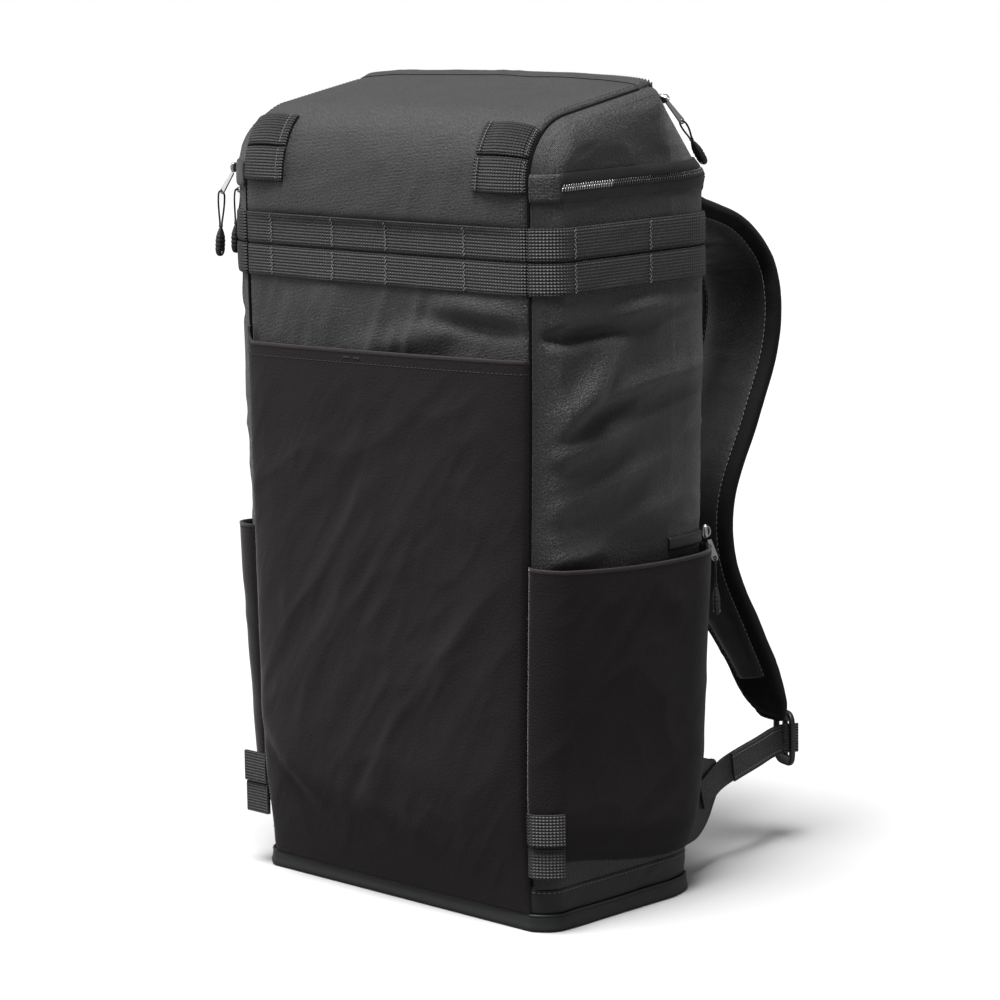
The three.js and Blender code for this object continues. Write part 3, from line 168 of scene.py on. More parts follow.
def bulge_at(side, z):
    """How far a side stands past its seams: eases from the base's to the top's; more on the left."""
    extra = LEFT_BULGE * smooth(z / BACK_FLARE_TOP) if side < 0 else 0
    return lerp(BASE_BULGE, SIDE_BULGE, smooth(z / FLARE_TOP)) + extra


def depth_at(share, z):
    """The place from the front to the back at a share of the depth."""
    return lerp(-front_at(z), back_at(z), share)


TILT = math.atan(TOP_SLOPE)
ARC_END = np.array([
    TOP_RADIUS - FRONT_DEPTH - TOP_RADIUS * math.sin(TILT),
    FRONT_TOP + TOP_RADIUS * math.cos(TILT),
])
TOP_BACK = np.array([TOP_BACK_DEPTH, ARC_END[1] + (TOP_BACK_DEPTH - ARC_END[0]) * TOP_SLOPE])
SLANT_END = np.array([back_at(BACK_TOP), BACK_TOP])
BODY_HEIGHT = TOP_BACK[1]
TOP_NORMAL = np.array([-math.sin(TILT), math.cos(TILT)])


def front_line(bottom):
    """Side view of the front: straight up, a quarter arc over the top, a sloping line back."""
    z = np.linspace(bottom, FRONT_TOP, 280)
    turn = np.linspace(math.pi, math.pi / 2 + TILT, 60)[1:]
    arc = np.stack([
        TOP_RADIUS - FRONT_DEPTH + TOP_RADIUS * np.cos(turn),
        FRONT_TOP + TOP_RADIUS * np.sin(turn),
    ], -1)
    share = np.linspace(0, 1, 60)[1:, None]
    return np.concatenate([np.stack([-front_at(z), z], -1), arc, lerp(ARC_END, TOP_BACK, share)])


def slant_line():
    """Side view of the back top: a rounded edge, a line down to the back, a short hem."""
    down = (SLANT_END - TOP_BACK) / np.linalg.norm(SLANT_END - TOP_BACK)
    start = TOP_BACK + down * TOP_EDGE
    bend = TOP_BACK + [TOP_EDGE / 2, 0]
    t = np.linspace(0, 1, 8)[:, None]
    edge = (1 - t) ** 2 * TOP_BACK + 2 * t * (1 - t) * bend + t ** 2 * (start + [1, 0])
    share = np.linspace(0, 1, 60)[1:, None]
    hem = SLANT_END - [0, 1] * np.linspace(0, BACK_HEM, 10)[1:, None]
    return np.concatenate([edge, lerp(edge[-1], SLANT_END, share), hem])


def along_line(line, runs):
    """Points and outward normals of a side-view line at runs in mm from its start."""
    steps = np.linalg.norm(np.diff(line, axis=0), axis=1)
    length = np.concatenate([[0], np.cumsum(steps)])
    at = lambda r: np.stack([np.interp(r, length, line[:, k]) for k in (0, 1)], -1)
    reach = 1.5
    way = at(np.minimum(runs + reach, length[-1])) - at(np.maximum(runs - reach, 0))
    way /= np.linalg.norm(way, axis=-1, keepdims=True)
    return at(runs), np.stack([-way[..., 1], way[..., 0]], -1)


def line_length(line):
    """Sum of a line's steps."""
    return float(np.linalg.norm(np.diff(line, axis=0), axis=1).sum())


FRONT_LINE = front_line(0)
SLANT_LINE = slant_line()
LOW_BACK = np.linspace(BACK_TOP - BACK_HEM, 0, 60)[1:]
OUTLINE = np.concatenate([
    FRONT_LINE[::3], FRONT_LINE[-1:], SLANT_LINE[1::2], SLANT_LINE[-1:],
    np.stack([back_at(LOW_BACK), LOW_BACK], -1),
])


def to_outline(y, z):
    """Least distance from points of the side view to the outline."""
    start, edge = OUTLINE[:-1], np.diff(OUTLINE, axis=0)
    size = (edge ** 2).sum(1)
    least = np.full(np.shape(y), np.inf)
    for (sy, sz), (ey, ez), square in zip(start, edge, size):
        dy, dz = y - sy, z - sz
        share = np.clip((dy * ey + dz * ez) / max(square, 1e-9), 0, 1)
        least = np.minimum(least, np.hypot(dy - share * ey, dz - share * ez))
    return least


def outline_top(y):
    """Height of the outline's top over a depth."""
    order = np.concatenate([FRONT_LINE[280:], SLANT_LINE[1:67]])
    return np.interp(y, order[:, 0], order[:, 1])


# Middle across and up as shares, half length and width in mm, turn in degrees, height in mm
FRONT_FOLDS = np.array([
    (0.72, 0.72, 42, 6, -4, -4), (0.7, 0.742, 40, 8, -4, 2.6), (0.3, 0.705, 60, 10, 12, 2),
    (-0.35, 0.725, 45, 14, -55, 1.5),
])
POCKET_FOLDS = np.array([
    (-0.78, 0.17, 70, 12, -42, 3.5), (-0.86, 0.155, 45, 8, -40, -3), (0.62, 0.35, 70, 13, 62, 2.5),
    (0.3, 0.5, 80, 18, 50, 2), (-0.1, 0.12, 90, 14, -12, 1.8),
])
SIDE_FOLDS = np.array([
    (-0.6, 0.714, 46, 5.5, 2, -4.2), (-0.52, 0.652, 42, 12, 43, 4.2), (0.12, 0.65, 58, 9, 9, 2.8),
    (-0.45, 0.585, 42, 8, 11, 3), (-0.26, 0.535, 55, 8, 14, 2.6), (0.17, 0.494, 30, 8, 12, 1.8),
    (-0.65, 0.452, 28, 7, 4, 2), (0.05, 0.74, 32, 7, 6, 2.2), (-0.3, 0.62, 50, 5, 18, -2),
])


def folds(table, across, z, half):
    """Sum of long bells: high exp(-(along / long)^2 - (off / wide)^2) for each row."""
    total = np.zeros(np.broadcast(across, z).shape)
    for place, up, long, wide, turn, high in table:
        dx, dz = (across - place) * half, z - up * BODY_HEIGHT
        c, s = math.cos(math.radians(turn)), math.sin(math.radians(turn))
        total += high * bump((dx * c + dz * s), long) * bump((dz * c - dx * s), wide)
    return total


def crown_share(across):
    """Fullness across a panel: (1 - across^2)^0.3, none at the seams."""
    return np.maximum(0, 1 - across ** 2) ** 0.3


def crown_at(across, z):
    """The front's crown: its fullness by a height that eases from the front's to the top's."""
    high = lerp(FRONT_CROWN, TOP_CROWN, smooth((z - FRONT_TOP) / TOP_RADIUS))
    return crown_share(across) * smooth(z / TUCK_TOP) * high


def front_relief(across, z, run):
    """Crown, folds, soft wrinkles and the fullness over the webbing, from the straight front."""
    x = across * BASE_HALF
    low = 1 - smooth((z - 480) / 40)
    soft = (0.6 + 1.1 * low) * crumple(x, run, 34, 70, 2.2, 11)
    soft = soft + 0.35 * crumple(x, run, 17, 20, 2.5, 17)
    held = np.maximum(0, 1 - np.abs(across) ** 6)
    near_web = 1 - 0.75 * bump(z - (WEB_TOP - WEB_WIDTH), 30)
    raised = folds(FRONT_FOLDS, across, z, BASE_HALF) * crown_share(across) * (1 + 0.9 * low)
    puff = smooth((FRONT_TOP + 25 - z) / 55) * smooth((z - WEB_TOP + 6) / 10)
    puff = WEB_FULLNESS * crown_share(across) * puff
    return crown_at(across, z) + raised + soft * held * near_web + puff


def on_side(side, y, z, wrinkled=1.0):
    """Side panel: seam + bulge (1 - (1 - edge / round)^2)^power + folds, edge from the outline."""
    edge = to_outline(y, z)
    deep = smooth((y + FRONT_DEPTH) / (2 * FRONT_DEPTH))
    around = lerp(FRONT_ROUND, BACK_ROUND, deep)
    inward = 1 - np.minimum(edge / around, 1)
    share = np.maximum(0, 1 - inward ** 2) ** lerp(0.85, 0.5, smooth(deep * 3))
    across = np.clip(2 * (y + front_at(z)) / (front_at(z) + back_at(z)) - 1, -1, 1)
    fade = smooth(edge / 10)
    near_web = 1 - 0.7 * bump(z - (WEB_TOP - WEB_WIDTH + 2), 34)
    soft = 1.2 * crumple(y, z, 26, 12, 2.8, 23 + side) + 0.4 * crumple(y, z, 13, 24, 2.6, 31 + side)
    full = RIGHT_FOLD_SHARE if side > 0 else LEFT_FOLD_SHARE
    raised = (folds(SIDE_FOLDS, across, z, FRONT_DEPTH) * full + soft * near_web) * fade
    x = seam_half(z) + SEAM_GAP + bulge_at(side, z) * share + raised * wrinkled
    return np.stack([side * x, y, z], -1)


def over_side(side, y, z, lift, wrinkled=1.0):
    """A side panel's point moved out along the smooth panel's normal, from central differences."""
    step = 0.5
    y, z = np.broadcast_arrays(np.asarray(y, float), np.asarray(z, float))
    back, top = back_at(z), outline_top(np.clip(y, -FRONT_DEPTH, back_at(z)))
    y0, y1 = np.clip(y - step, -front_at(z), back), np.clip(y + step, -front_at(z), back)
    z1 = np.minimum(z + step, np.maximum(top, z))
    way_y = on_side(side, y1, z, 0) - on_side(side, y0, z, 0)
    way_z = on_side(side, y, z1, 0) - on_side(side, y, z1 - 2 * step, 0)
    normal = np.cross(way_y, way_z) * side
    normal /= np.maximum(np.linalg.norm(normal, axis=-1, keepdims=True), 1e-9)
    p = on_side(side, y, z, wrinkled) + normal * np.asarray(lift)[..., None]
    p[..., 0] = side * np.maximum(side * p[..., 0], seam_half(p[..., 2]) + SEAM_GAP)
    return p


def over_sides(side, y, z, top, foot, *wrinkled):
    """Outer and inner faces of a layer that lies on a side panel."""
    return over_side(side, y, z, top, *wrinkled), over_side(side, y, z, foot, *wrinkled)


def over_front(across, runs, lift):
    """The front and top panel's point at shares across and runs up the line, moved out."""
    point, normal = along_line(FRONT_LINE, runs)
    half = seam_half(point[..., 1])
    groove = SEAM_GROOVE * bump((1 - np.abs(across)) * half, 2.6)
    out = front_relief(across, point[..., 1], runs) + lift - groove
    x = across * (half - 0.5 * groove)
    y, z = point[..., 0] + normal[..., 0] * out, point[..., 1] + normal[..., 1] * out
    return np.stack([x, y, z], -1)


def slant_crown(across, z):
    """The back top's crown: its fullness, rising straight from the hem to the top edge."""
    foot = BACK_TOP - BACK_HEM
    rise = np.clip((z - foot) / (BODY_HEIGHT - foot - TOP_TAPE * TOP_SLOPE), 0, 1)
    return TOP_CROWN * crown_share(across) * rise


def over_slant(across, runs, lift):
    """The back top's point: the slanting line, raised by the top's crown, moved out."""
    point, normal = along_line(SLANT_LINE, runs)
    x = across * seam_half(point[..., 1])
    soft = 0.8 * crumple(across * BASE_HALF, runs, 24, 75, 2, 41) * (1 - np.abs(across) ** 6)
    soft = soft * smooth(runs / 20)
    out = np.asarray(lift) + soft
    up = slant_crown(across, point[..., 1])
    return np.stack([
        x,
        point[..., 0] + TOP_NORMAL[0] * up + normal[..., 0] * out,
        point[..., 1] + TOP_NORMAL[1] * up + normal[..., 1] * out,
    ], -1)


def stand_off(across, up, rise, full, gape):
    """How far a pocket stands off: a quick rise to its fullness, then towards the hem's gape."""
    belly = full * (1 - (1 - np.minimum(up / rise, 1)) ** 2)
    return crown_share(across) * (belly + (gape - full) * smooth((up - rise) / (1 - rise)))


def pocket_hem(across):
    """Height of the front pocket's hem: a straight rise across, with an ear at the left seam."""
    ear = smooth((-across - 1 + POCKET_CORNER) / POCKET_CORNER)
    return POCKET_HEM + HEM_RISE * (across + 1) / 2 + HEM_EAR * ear


def side_hem(share):
    """Height of a side pocket's hem: it sags by a sine of the depth share."""
    return SIDE_HEM - SIDE_SAG * np.sin(math.pi * share * 0.7)


def side_floor(share):
    """Height of a side pocket's lower edge, easing from front to back."""
    return lerp(FLOOR_FRONT, FLOOR_BACK, smooth(share / 0.8))


def side_pocket_lift(share, z):
    """How far a side pocket stands off between its lower edge and its hem."""
    floor = side_floor(share)
    up = np.clip((z - floor) / (side_hem(share) - floor), 0, 1)
    return stand_off(2 * share - 1, up, *SIDE_POCKET)


def catmull(points, t, tension=None):
    """Catmull-Rom curve through points at t from 0 to 1, centripetal unless tension is given."""
    points = np.asarray(points, float)
    ends = [2 * points[:1] - points[1:2], points, 2 * points[-1:] - points[-2:-1]]
    p = np.concatenate(ends)
    t = np.asarray(t, float) * (len(points) - 1)
    i = np.minimum(t.astype(int), len(points) - 2)
    w = (t - i)[:, None]
    p0, p1, p2, p3 = p[i], p[i + 1], p[i + 2], p[i + 3]
    if tension is None:
        gap = lambda a, b: np.maximum(((b - a) ** 2).sum(1), 1e-8)[:, None] ** 0.25
        d0, d1, d2 = gap(p0, p1), gap(p1, p2), gap(p2, p3)
        m1 = ((p1 - p0) / d0 - (p2 - p0) / (d0 + d1) + (p2 - p1) / d1) * d1
        m2 = ((p2 - p1) / d1 - (p3 - p1) / (d1 + d2) + (p3 - p2) / d2) * d1
    else:
        m1, m2 = tension * (p2 - p0), tension * (p3 - p1)
    return (p1 + m1 * w + (3 * (p2 - p1) - 2 * m1 - m2) * w ** 2
            + (2 * (p1 - p2) + m1 + m2) * w ** 3)


def unit(v):
    """Vectors divided by their lengths."""
    v = np.asarray(v, float)
    return v / np.maximum(np.linalg.norm(v, axis=-1, keepdims=True), 1e-12)


def tangents(points):
    """Ways along a line: its differences, made unit length."""
    return unit(np.gradient(points, axis=0))


def resample(path, pitch):
    """Evenly spaced places along a polyline: share of its index for each."""
    steps = np.linalg.norm(np.diff(path, axis=0), axis=1)
    length = np.concatenate([[0], np.cumsum(steps)])
    count = max(2, int(length[-1] / pitch))
    return np.interp((np.arange(count) + 0.5) * length[-1] / count, length, np.arange(len(path)))


def pick(values, index):
    """Values of a table at fractional row numbers."""
    rows = np.arange(len(values))
    return np.stack([np.interp(index, rows, values[:, k]) for k in range(values.shape[1])], -1)


# Meshes

def superellipse(count, power):
    """Closed section |u|^power + |v|^power = 1."""
    t = np.linspace(0, 2 * math.pi, count, endpoint=False)
    c, s = np.cos(t), np.sin(t)
    return np.stack([np.sign(c) * np.abs(c) ** (2 / power), np.sign(s) * np.abs(s) ** (2 / power)], -1)


class Form:
    """Gathers closed surfaces in millimetres, drawn for the right side, and makes one object."""

    def __init__(self, side=1):
        self.points, self.faces, self.maps, self.count = [], [], [], 0
        self.mirror = np.array([side, 1, 1])

    def _take(self, points):
        """Add points and give the number of the first."""
        first = self.count
        self.points.append(points.reshape(-1, 3))
        self.count += points.reshape(-1, 3).shape[0]
        return first

    def _patch(self, index, uv, flip=False):
        """Four-sided faces between neighbours of a grid of point numbers, with their UV."""
        low, high = slice(None, -1), slice(1, None)
        corners = [(low, low), (high, low), (high, high), (low, high)]
        if flip:
            corners.reverse()
        self.faces.append(np.stack([index[c] for c in corners], -1).reshape(-1, 4))
        self.maps.append(np.stack([uv[c] for c in corners], -2).reshape(-1, 4, 2))

    def wall(self, outer, inner, ring=False):
        """A closed wall between two like grids. UV runs in metres along both ways of a grid."""
        rows, columns = outer.shape[:2]
        outer, inner = outer * self.mirror, inner * self.mirror
        if self._inside_out(outer, inner):
            outer, inner = outer[:, ::-1], inner[:, ::-1]
        first = self._take(np.stack([outer, inner]))
        index = first + np.arange(rows * columns).reshape(rows, columns)
        under = index + rows * columns
        step_u = np.linalg.norm(np.diff(outer, axis=0), axis=-1).mean(1)
        step_v = np.linalg.norm(np.diff(outer, axis=1), axis=-1).mean(0)
        if ring:
            index, under = np.vstack([index, index[:1]]), np.vstack([under, under[:1]])
            step_u = np.append(step_u, np.linalg.norm(outer[0] - outer[-1], axis=-1).mean())
        u = np.concatenate([[0], np.cumsum(step_u)]) / 1000
        v = np.concatenate([[0], np.cumsum(step_v)]) / 1000
        uv = np.stack(np.meshgrid(u, v, indexing="ij"), -1)
        thick = 0.001
        wide = np.concatenate([uv[:, :1] - [0, thick], uv, uv[:, -1:] + [0, thick]], 1)
        self._patch(np.concatenate([under[:, :1], index, under[:, -1:]], 1), wide)
        self._patch(under, uv, flip=True)
        if not ring:
            self._patch(np.stack([under[0], index[0]]), np.stack([uv[0] - [thick, 0], uv[0]]))
            self._patch(np.stack([index[-1], under[-1]]), np.stack([uv[-1], uv[-1] + [thick, 0]]))

    @staticmethod
    def _inside_out(outer, inner):
        """Whether a grid's own normal at its middle points from outer to inner."""
        i, j = outer.shape[0] // 2, outer.shape[1] // 2
        i, j = min(i, outer.shape[0] - 2), min(j, outer.shape[1] - 2)
        facing = np.cross(outer[i + 1, j] - outer[i, j], outer[i, j + 1] - outer[i, j])
        return float(facing @ (outer[i, j] - inner[i, j])) < 0

    def tube(self, rings, closed=False):
        """Rings of points joined in order; ends are capped with a fan unless closed."""
        rings = rings * self.mirror
        count, around = rings.shape[:2]
        middle = rings.mean(1)
        facing = np.cross(rings[0, 1] - rings[0, 0], rings[1, 0] - rings[0, 0])
        if float(facing @ (rings[0, 0] - middle[0])) < 0:
            rings = rings[:, ::-1]
        first = self._take(rings)
        index = first + np.arange(count * around).reshape(count, around)
        index = np.concatenate([index, index[:, :1]], 1)
        ring_step = np.linalg.norm(np.roll(rings, -1, axis=1) - rings, axis=-1).mean(0)
        run_step = np.linalg.norm(np.diff(middle, axis=0), axis=-1)
        if closed:
            index = np.concatenate([index, index[:1]], 0)
            run_step = np.append(run_step, np.linalg.norm(middle[0] - middle[-1]))
        u = np.concatenate([[0], np.cumsum(run_step)]) / 1000
        v = np.concatenate([[0], np.cumsum(ring_step)]) / 1000
        uv = np.stack(np.meshgrid(u, v, indexing="ij"), -1)
        self._patch(index, uv, flip=True)
        if closed:
            return
        tips = self._take(middle[[0, -1]])
        ends = ((tips, index[0], uv[0], True), (tips + 1, index[-1], uv[-1], False))
        for tip, ring, near, flip in ends:
            fan = np.stack([np.full(around, tip), ring[:-1], ring[1:]], -1)
            flat = np.stack([(near[:-1] + near[1:]) / 2, near[:-1], near[1:]], -2)
            self.faces.append(fan[:, ::-1] if not flip else fan)
            self.maps.append(flat[:, ::-1] if not flip else flat)

    def bar(self, middle, across, through, width, thick, section):
        """A section carried along stations: middle + u width / 2 across + v thick / 2 through."""
        width, thick = np.broadcast_to(width, len(middle)), np.broadcast_to(thick, len(middle))
        across, through = (np.broadcast_to(way, middle.shape) for way in (across, through))
        u, v = section[:, 0][None, :, None], section[:, 1][None, :, None]
        self.tube(middle[:, None] + u * (width[:, None] * across / 2)[:, None]
                  + v * (thick[:, None] * through / 2)[:, None])

    def beads(self, middle, along, up, half, wide, high):
        """Many small closed drops: an eight-sided section with radii sin(pi s) along s."""
        middle, along, up = middle * self.mirror, unit(along * self.mirror), unit(up * self.mirror)
        side = unit(np.cross(along, up))
        up = np.cross(side, along)
        share = np.array([0.12, 0.32, 0.68, 0.88]) * math.pi
        turn = np.linspace(0, 2 * math.pi, 6, endpoint=False)
        ring = np.stack([
            -np.cos(share)[:, None] * np.ones(6),
            np.sin(share)[:, None] ** 0.6 * np.cos(turn),
            np.sin(share)[:, None] ** 0.6 * np.sin(turn),
        ], -1).reshape(-1, 3)
        local = np.concatenate([ring, [[-1.05, 0, 0], [1.05, 0, 0]]]) * [half, wide, high]
        points = (middle[:, None] + local[None, :, :1] * along[:, None]
                  + local[None, :, 1:2] * side[:, None] + local[None, :, 2:] * up[:, None])
        first = self._take(points)
        quads, tris = [], []
        for i in range(6):
            j = (i + 1) % 6
            quads += [(6 * r + i, 6 * r + j, 6 * r + 6 + j, 6 * r + 6 + i) for r in range(3)]
            tris += [(24, j, i), (25, 18 + i, 18 + j)]
        shift = first + 26 * np.arange(len(middle))
        for table in (quads, tris):
            table = np.array(table)
            facing = self._bead_facing(local, table[0])
            table = table[:, ::-1] if facing < 0 else table
            faces = (shift[:, None, None] + table[None]).reshape(-1, table.shape[1])
            self.faces.append(faces)
            self.maps.append(np.zeros((*faces.shape, 2)))

    @staticmethod
    def _bead_facing(local, face):
        """Above 0 where a face's normal points away from the bead's middle."""
        a, b, c = local[face[0]], local[face[1]], local[face[2]]
        return float(np.cross(b - a, c - a) @ (a + b + c))

    def row(self, path, up, kind):
        """Stitches of a kind along a polyline that lie on it, up being the way out of the cloth."""
        length, gap, wide, high = STITCHES[kind]
        up = np.broadcast_to(up, path.shape)
        at = resample(path, length + gap)
        self.beads(pick(path, at), pick(tangents(path), at), pick(up, at), length / 2, wide, high)

    def object(self, name, material):
        """One mesh of all the surfaces: sideways lean in proportion to height, then metres."""
        points = np.concatenate(self.points)
        points[:, 0] -= SIDE_LEAN * points[:, 2] / FLARE_TOP
        mesh = bpy.data.meshes.new(name)
        sizes = np.concatenate([np.full(len(f), f.shape[1]) for f in self.faces])
        corners = np.concatenate([f.ravel() for f in self.faces])
        mesh.vertices.add(len(points))
        mesh.vertices.foreach_set("co", (points / 1000).astype(np.float32).ravel())
        mesh.loops.add(len(corners))
        mesh.loops.foreach_set("vertex_index", corners.astype(np.int32))
        mesh.polygons.add(len(sizes))
        starts = np.concatenate([[0], np.cumsum(sizes)[:-1]])
        mesh.polygons.foreach_set("loop_start", starts.astype(np.int32))
        mesh.polygons.foreach_set("use_smooth", np.ones(len(sizes), dtype=bool))
        mesh.uv_layers.new(name="UVMap")
        flat = np.concatenate([m.reshape(-1, 2) for m in self.maps])
        mesh.uv_layers[0].uv.foreach_set("vector", flat.astype(np.float32).ravel())
        mesh.update(calc_edges=True)
        mesh.validate()
        mesh.materials.append(material)
        made = bpy.data.objects.new(name, mesh)
        bpy.context.scene.collection.objects.link(made)
        return made

    def piece(self, name, finish, slot, *nodes):
        """The object in its finish, on the bag, standing for its solids."""
        return dress(self.object(name, material(finish)), slot, *nodes)


def dress(piece, slot, *nodes):
    """Hang a piece on the bag and let it stand for its solids; its slot is not used."""
    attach(piece, "root")
    if nodes:
        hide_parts(*nodes)
    return piece


def sewn(outer, inner, name, finish, slot, *nodes, ring=False, side=1):
    """A piece that is one closed wall between two like grids."""
    form = Form(side)
    form.wall(outer, inner, ring=ring)
    return form.piece(name, finish, slot, *nodes)


def stitched(lines, kind, name, finish, slot, side=1):
    """A piece of stitches of one kind, along lines that come with the way out of their cloth."""
    form = Form(side)
    for line, up in lines:
        form.row(line, up, kind)
    return form.piece(name, finish, slot)


def keep(material, *nodes):
    """Give carried-over solids a finished material."""
    for name in nodes:
        for slot in bpy.data.objects[name].material_slots:
            slot.material = material


# Materials

class Term:
    """A number that varies over a surface. Sums and products with it add Math nodes."""

    def __init__(self, shader, socket):
        self.shader, self.socket = shader, socket

    def _math(self, operation, *values):
        return self.shader.add("ShaderNodeMath", {"operation": operation}, *values)[0]

    def __add__(self, other):
        return self._math("ADD", self, other)

    def __mul__(self, other):
        return self._math("MULTIPLY", self, other)

    __radd__, __rmul__ = __add__, __mul__

    def __sub__(self, other):
        return self._math("SUBTRACT", self, other)

    def __rsub__(self, other):
        return self._math("SUBTRACT", other, self)

    def sine(self):
        return self._math("SINE", self)

    def absolute(self):
        return self._math("ABSOLUTE", self)


SOCKETS = {
    "specular_ior_level": "Specular IOR Level",
    "sheen_weight": "Sheen Weight",
    "sheen_roughness": "Sheen Roughness",
}


class Finish:
    """A material with one Principled surface, built from Terms."""

    def __init__(self, name, roughness, **constants):
        self.material = bpy.data.materials.new(name)
        self.material.use_nodes = True
        self.tree = self.material.node_tree
        self.surface = self.tree.nodes["Principled BSDF"]
        self.surface.inputs["Roughness"].default_value = roughness
        for key, value in constants.items():
            self.surface.inputs[SOCKETS.get(key, key.title())].default_value = value

    def add(self, kind, settings, *values):
        """A node of a kind, with its settings made first and its sockets filled in order."""
        node = self.tree.nodes.new(kind)
        for key, value in settings.items():
            setattr(node, key, value)
        for socket, value in zip([s for s in node.inputs if s.enabled], values):
            if value is None:
                continue
            if isinstance(value, Term):
                self.tree.links.new(value.socket, socket)
            else:
                socket.default_value = value
        return [Term(self, s) for s in node.outputs if s.enabled]

    def place(self, use_map=True):
        """Where the point is: UV in metres on cloth, or Object coordinates."""
        return self.add("ShaderNodeTexCoord", {})[2 if use_map else 3]

    def split(self, vector):
        return self.add("ShaderNodeSeparateXYZ", {}, vector)

    def noise(self, vector, scale, detail=3.0, rough=0.55):
        return self.add("ShaderNodeTexNoise", {}, vector, scale, detail, rough)[0]

    def colour(self, amount, dark, light):
        """Base Color between two colours by an amount."""
        mixed = self.add("ShaderNodeMix", {"data_type": "RGBA"}, amount, (*dark, 1), (*light, 1))[0]
        self.tree.links.new(mixed.socket, self.surface.inputs["Base Color"])

    def shades(self, amount, base, spread):
        """Base Color from the base a spread darker to the base a spread lighter."""
        self.colour(amount, [c * (1 - spread) for c in base], [c * (1 + spread) for c in base])

    def rough(self, amount):
        self.tree.links.new(amount.socket, self.surface.inputs["Roughness"])

    def dim_bounce(self, shade):
        """Only the camera sees the surface; light that bounces meets a dull shade of it."""
        seen = self.add("ShaderNodeLightPath", {})[0]
        dull = self.add("ShaderNodeBsdfDiffuse", {}, (shade, shade, shade, 1))[0]
        whole = Term(self, self.surface.outputs[0])
        mixed = self.add("ShaderNodeMixShader", {}, seen, dull, whole)[0]
        self.tree.links.new(mixed.socket, self.tree.nodes["Material Output"].inputs["Surface"])

    def relief(self, height, depth):
        """Bump of a height that is 1 at depth, in metres."""
        bumped = self.add("ShaderNodeBump", {}, 1.0, depth, None, height)
        if not self.tree.nodes[-1].inputs["Height"].is_linked:
            raise RuntimeError("relief found no height socket")
        self.tree.links.new(bumped[0].socket, self.surface.inputs["Normal"])


def weave(u, v, pitch, diagonal=0.0):
    """Plain weave: |sin| of both ways, multiplied; diagonal mixes in a twill line."""
    turn = math.pi / pitch
    knots = (u * turn).sine().absolute() * (v * turn).sine().absolute()
    if diagonal:
        twill = ((u + v) * (turn / 2)).sine().absolute()
        knots = knots * (1 - diagonal) + twill * diagonal
    return knots


def woven(name, base, roughness, pitch, depth, diagonal=0.0, spread=0.35, sheen=0.2,
          gloss=0.2, mottle=26.0):
    """Cloth: a weave in the bump, threads a little darker between as painted shade of the gaps, and slow
    patches of wear.
    """
    finish = Finish(name, roughness, specular_ior_level=gloss, sheen_weight=sheen, sheen_roughness=0.35)
    place = finish.place()
    u, v, _ = finish.split(place)
    knots = weave(u, v, pitch, diagonal)
    patches = finish.noise(place, mottle, 4.0)
    speckle = finish.noise(place, 520.0, 2.0) * 3.6 - 1.3
    # The knots make the gaps between threads darker, a painted shade; patches and speckle vary the tone
    # at random
    amount = knots * 0.2 + patches * 0.3 + speckle * 0.5
    finish.shades(amount, base, spread)
    finish.rough(patches * 0.16 + speckle * 0.1 + (roughness - 0.12))
    finish.relief(knots * 0.7 + speckle * 0.8 + patches * 2.0, depth)
    return finish.material


def ribbed(name, base, roughness, pitch, depth, spread=0.7):
    """Webbing: ribs along the band, crossed by fine weft, dark between the knots as painted shade of the
    gaps, with patches of wear.
    """
    finish = Finish(name, roughness, specular_ior_level=0.35, sheen_weight=0.05, sheen_roughness=0.3)
    place = finish.place()
    u, v, _ = finish.split(place)
    ribs = (v * (math.pi / pitch)).sine().absolute()
    weft = (u * (math.pi / (pitch * 1.15))).sine().absolute()
    fuzz = finish.noise(place, 900.0, 2.0)
    patches = finish.noise(place, 45.0, 3.0)
    knots = ribs * weft
    # Colour from the knots: dark in the gaps between them, a painted shade; patches and fuzz vary it at
    # random
    amount = knots * 0.75 + patches * 0.15 + fuzz * 0.2
    finish.shades(amount, base, spread)
    finish.rough(patches * 0.14 - knots * 0.12 + (roughness - 0.02))
    finish.relief(knots + ribs * 0.4 + fuzz * 0.3, depth)
    return finish.material


def grained(name, base, roughness, scale, depth, spread=0.3, **constants):
    """Coated cloth or moulding: a fine pebble grain and slow patches, on Object coordinates."""
    finish = Finish(name, roughness, **constants)
    place = finish.place(use_map=False)
    pebbles = finish.add("ShaderNodeTexVoronoi", {}, place, scale)[0]
    patches = finish.noise(place, 30.0, 4.0)
    fine = finish.noise(place, scale * 2.2, 2.0)
    amount = pebbles * 0.3 + patches * 0.5 + fine * 0.2
    finish.shades(amount, base, spread)
    finish.rough(patches * 0.2 + (roughness - 0.1))
    finish.relief(pebbles + fine * 0.5, depth)
    return finish.material


# Settings of the add-on


def colour_setting(label, about, value):
    """A colour of the panel's colour group."""
    return bpy.props.FloatVectorProperty(
        name=label, description=about, subtype="COLOR", size=3, min=0, max=1, default=value)


def length_setting(label, about, value):
    """A length of the panel's size group, in metres."""
    return bpy.props.FloatProperty(
        name=label, description=about, default=value, min=0, subtype="DISTANCE", unit="LENGTH")


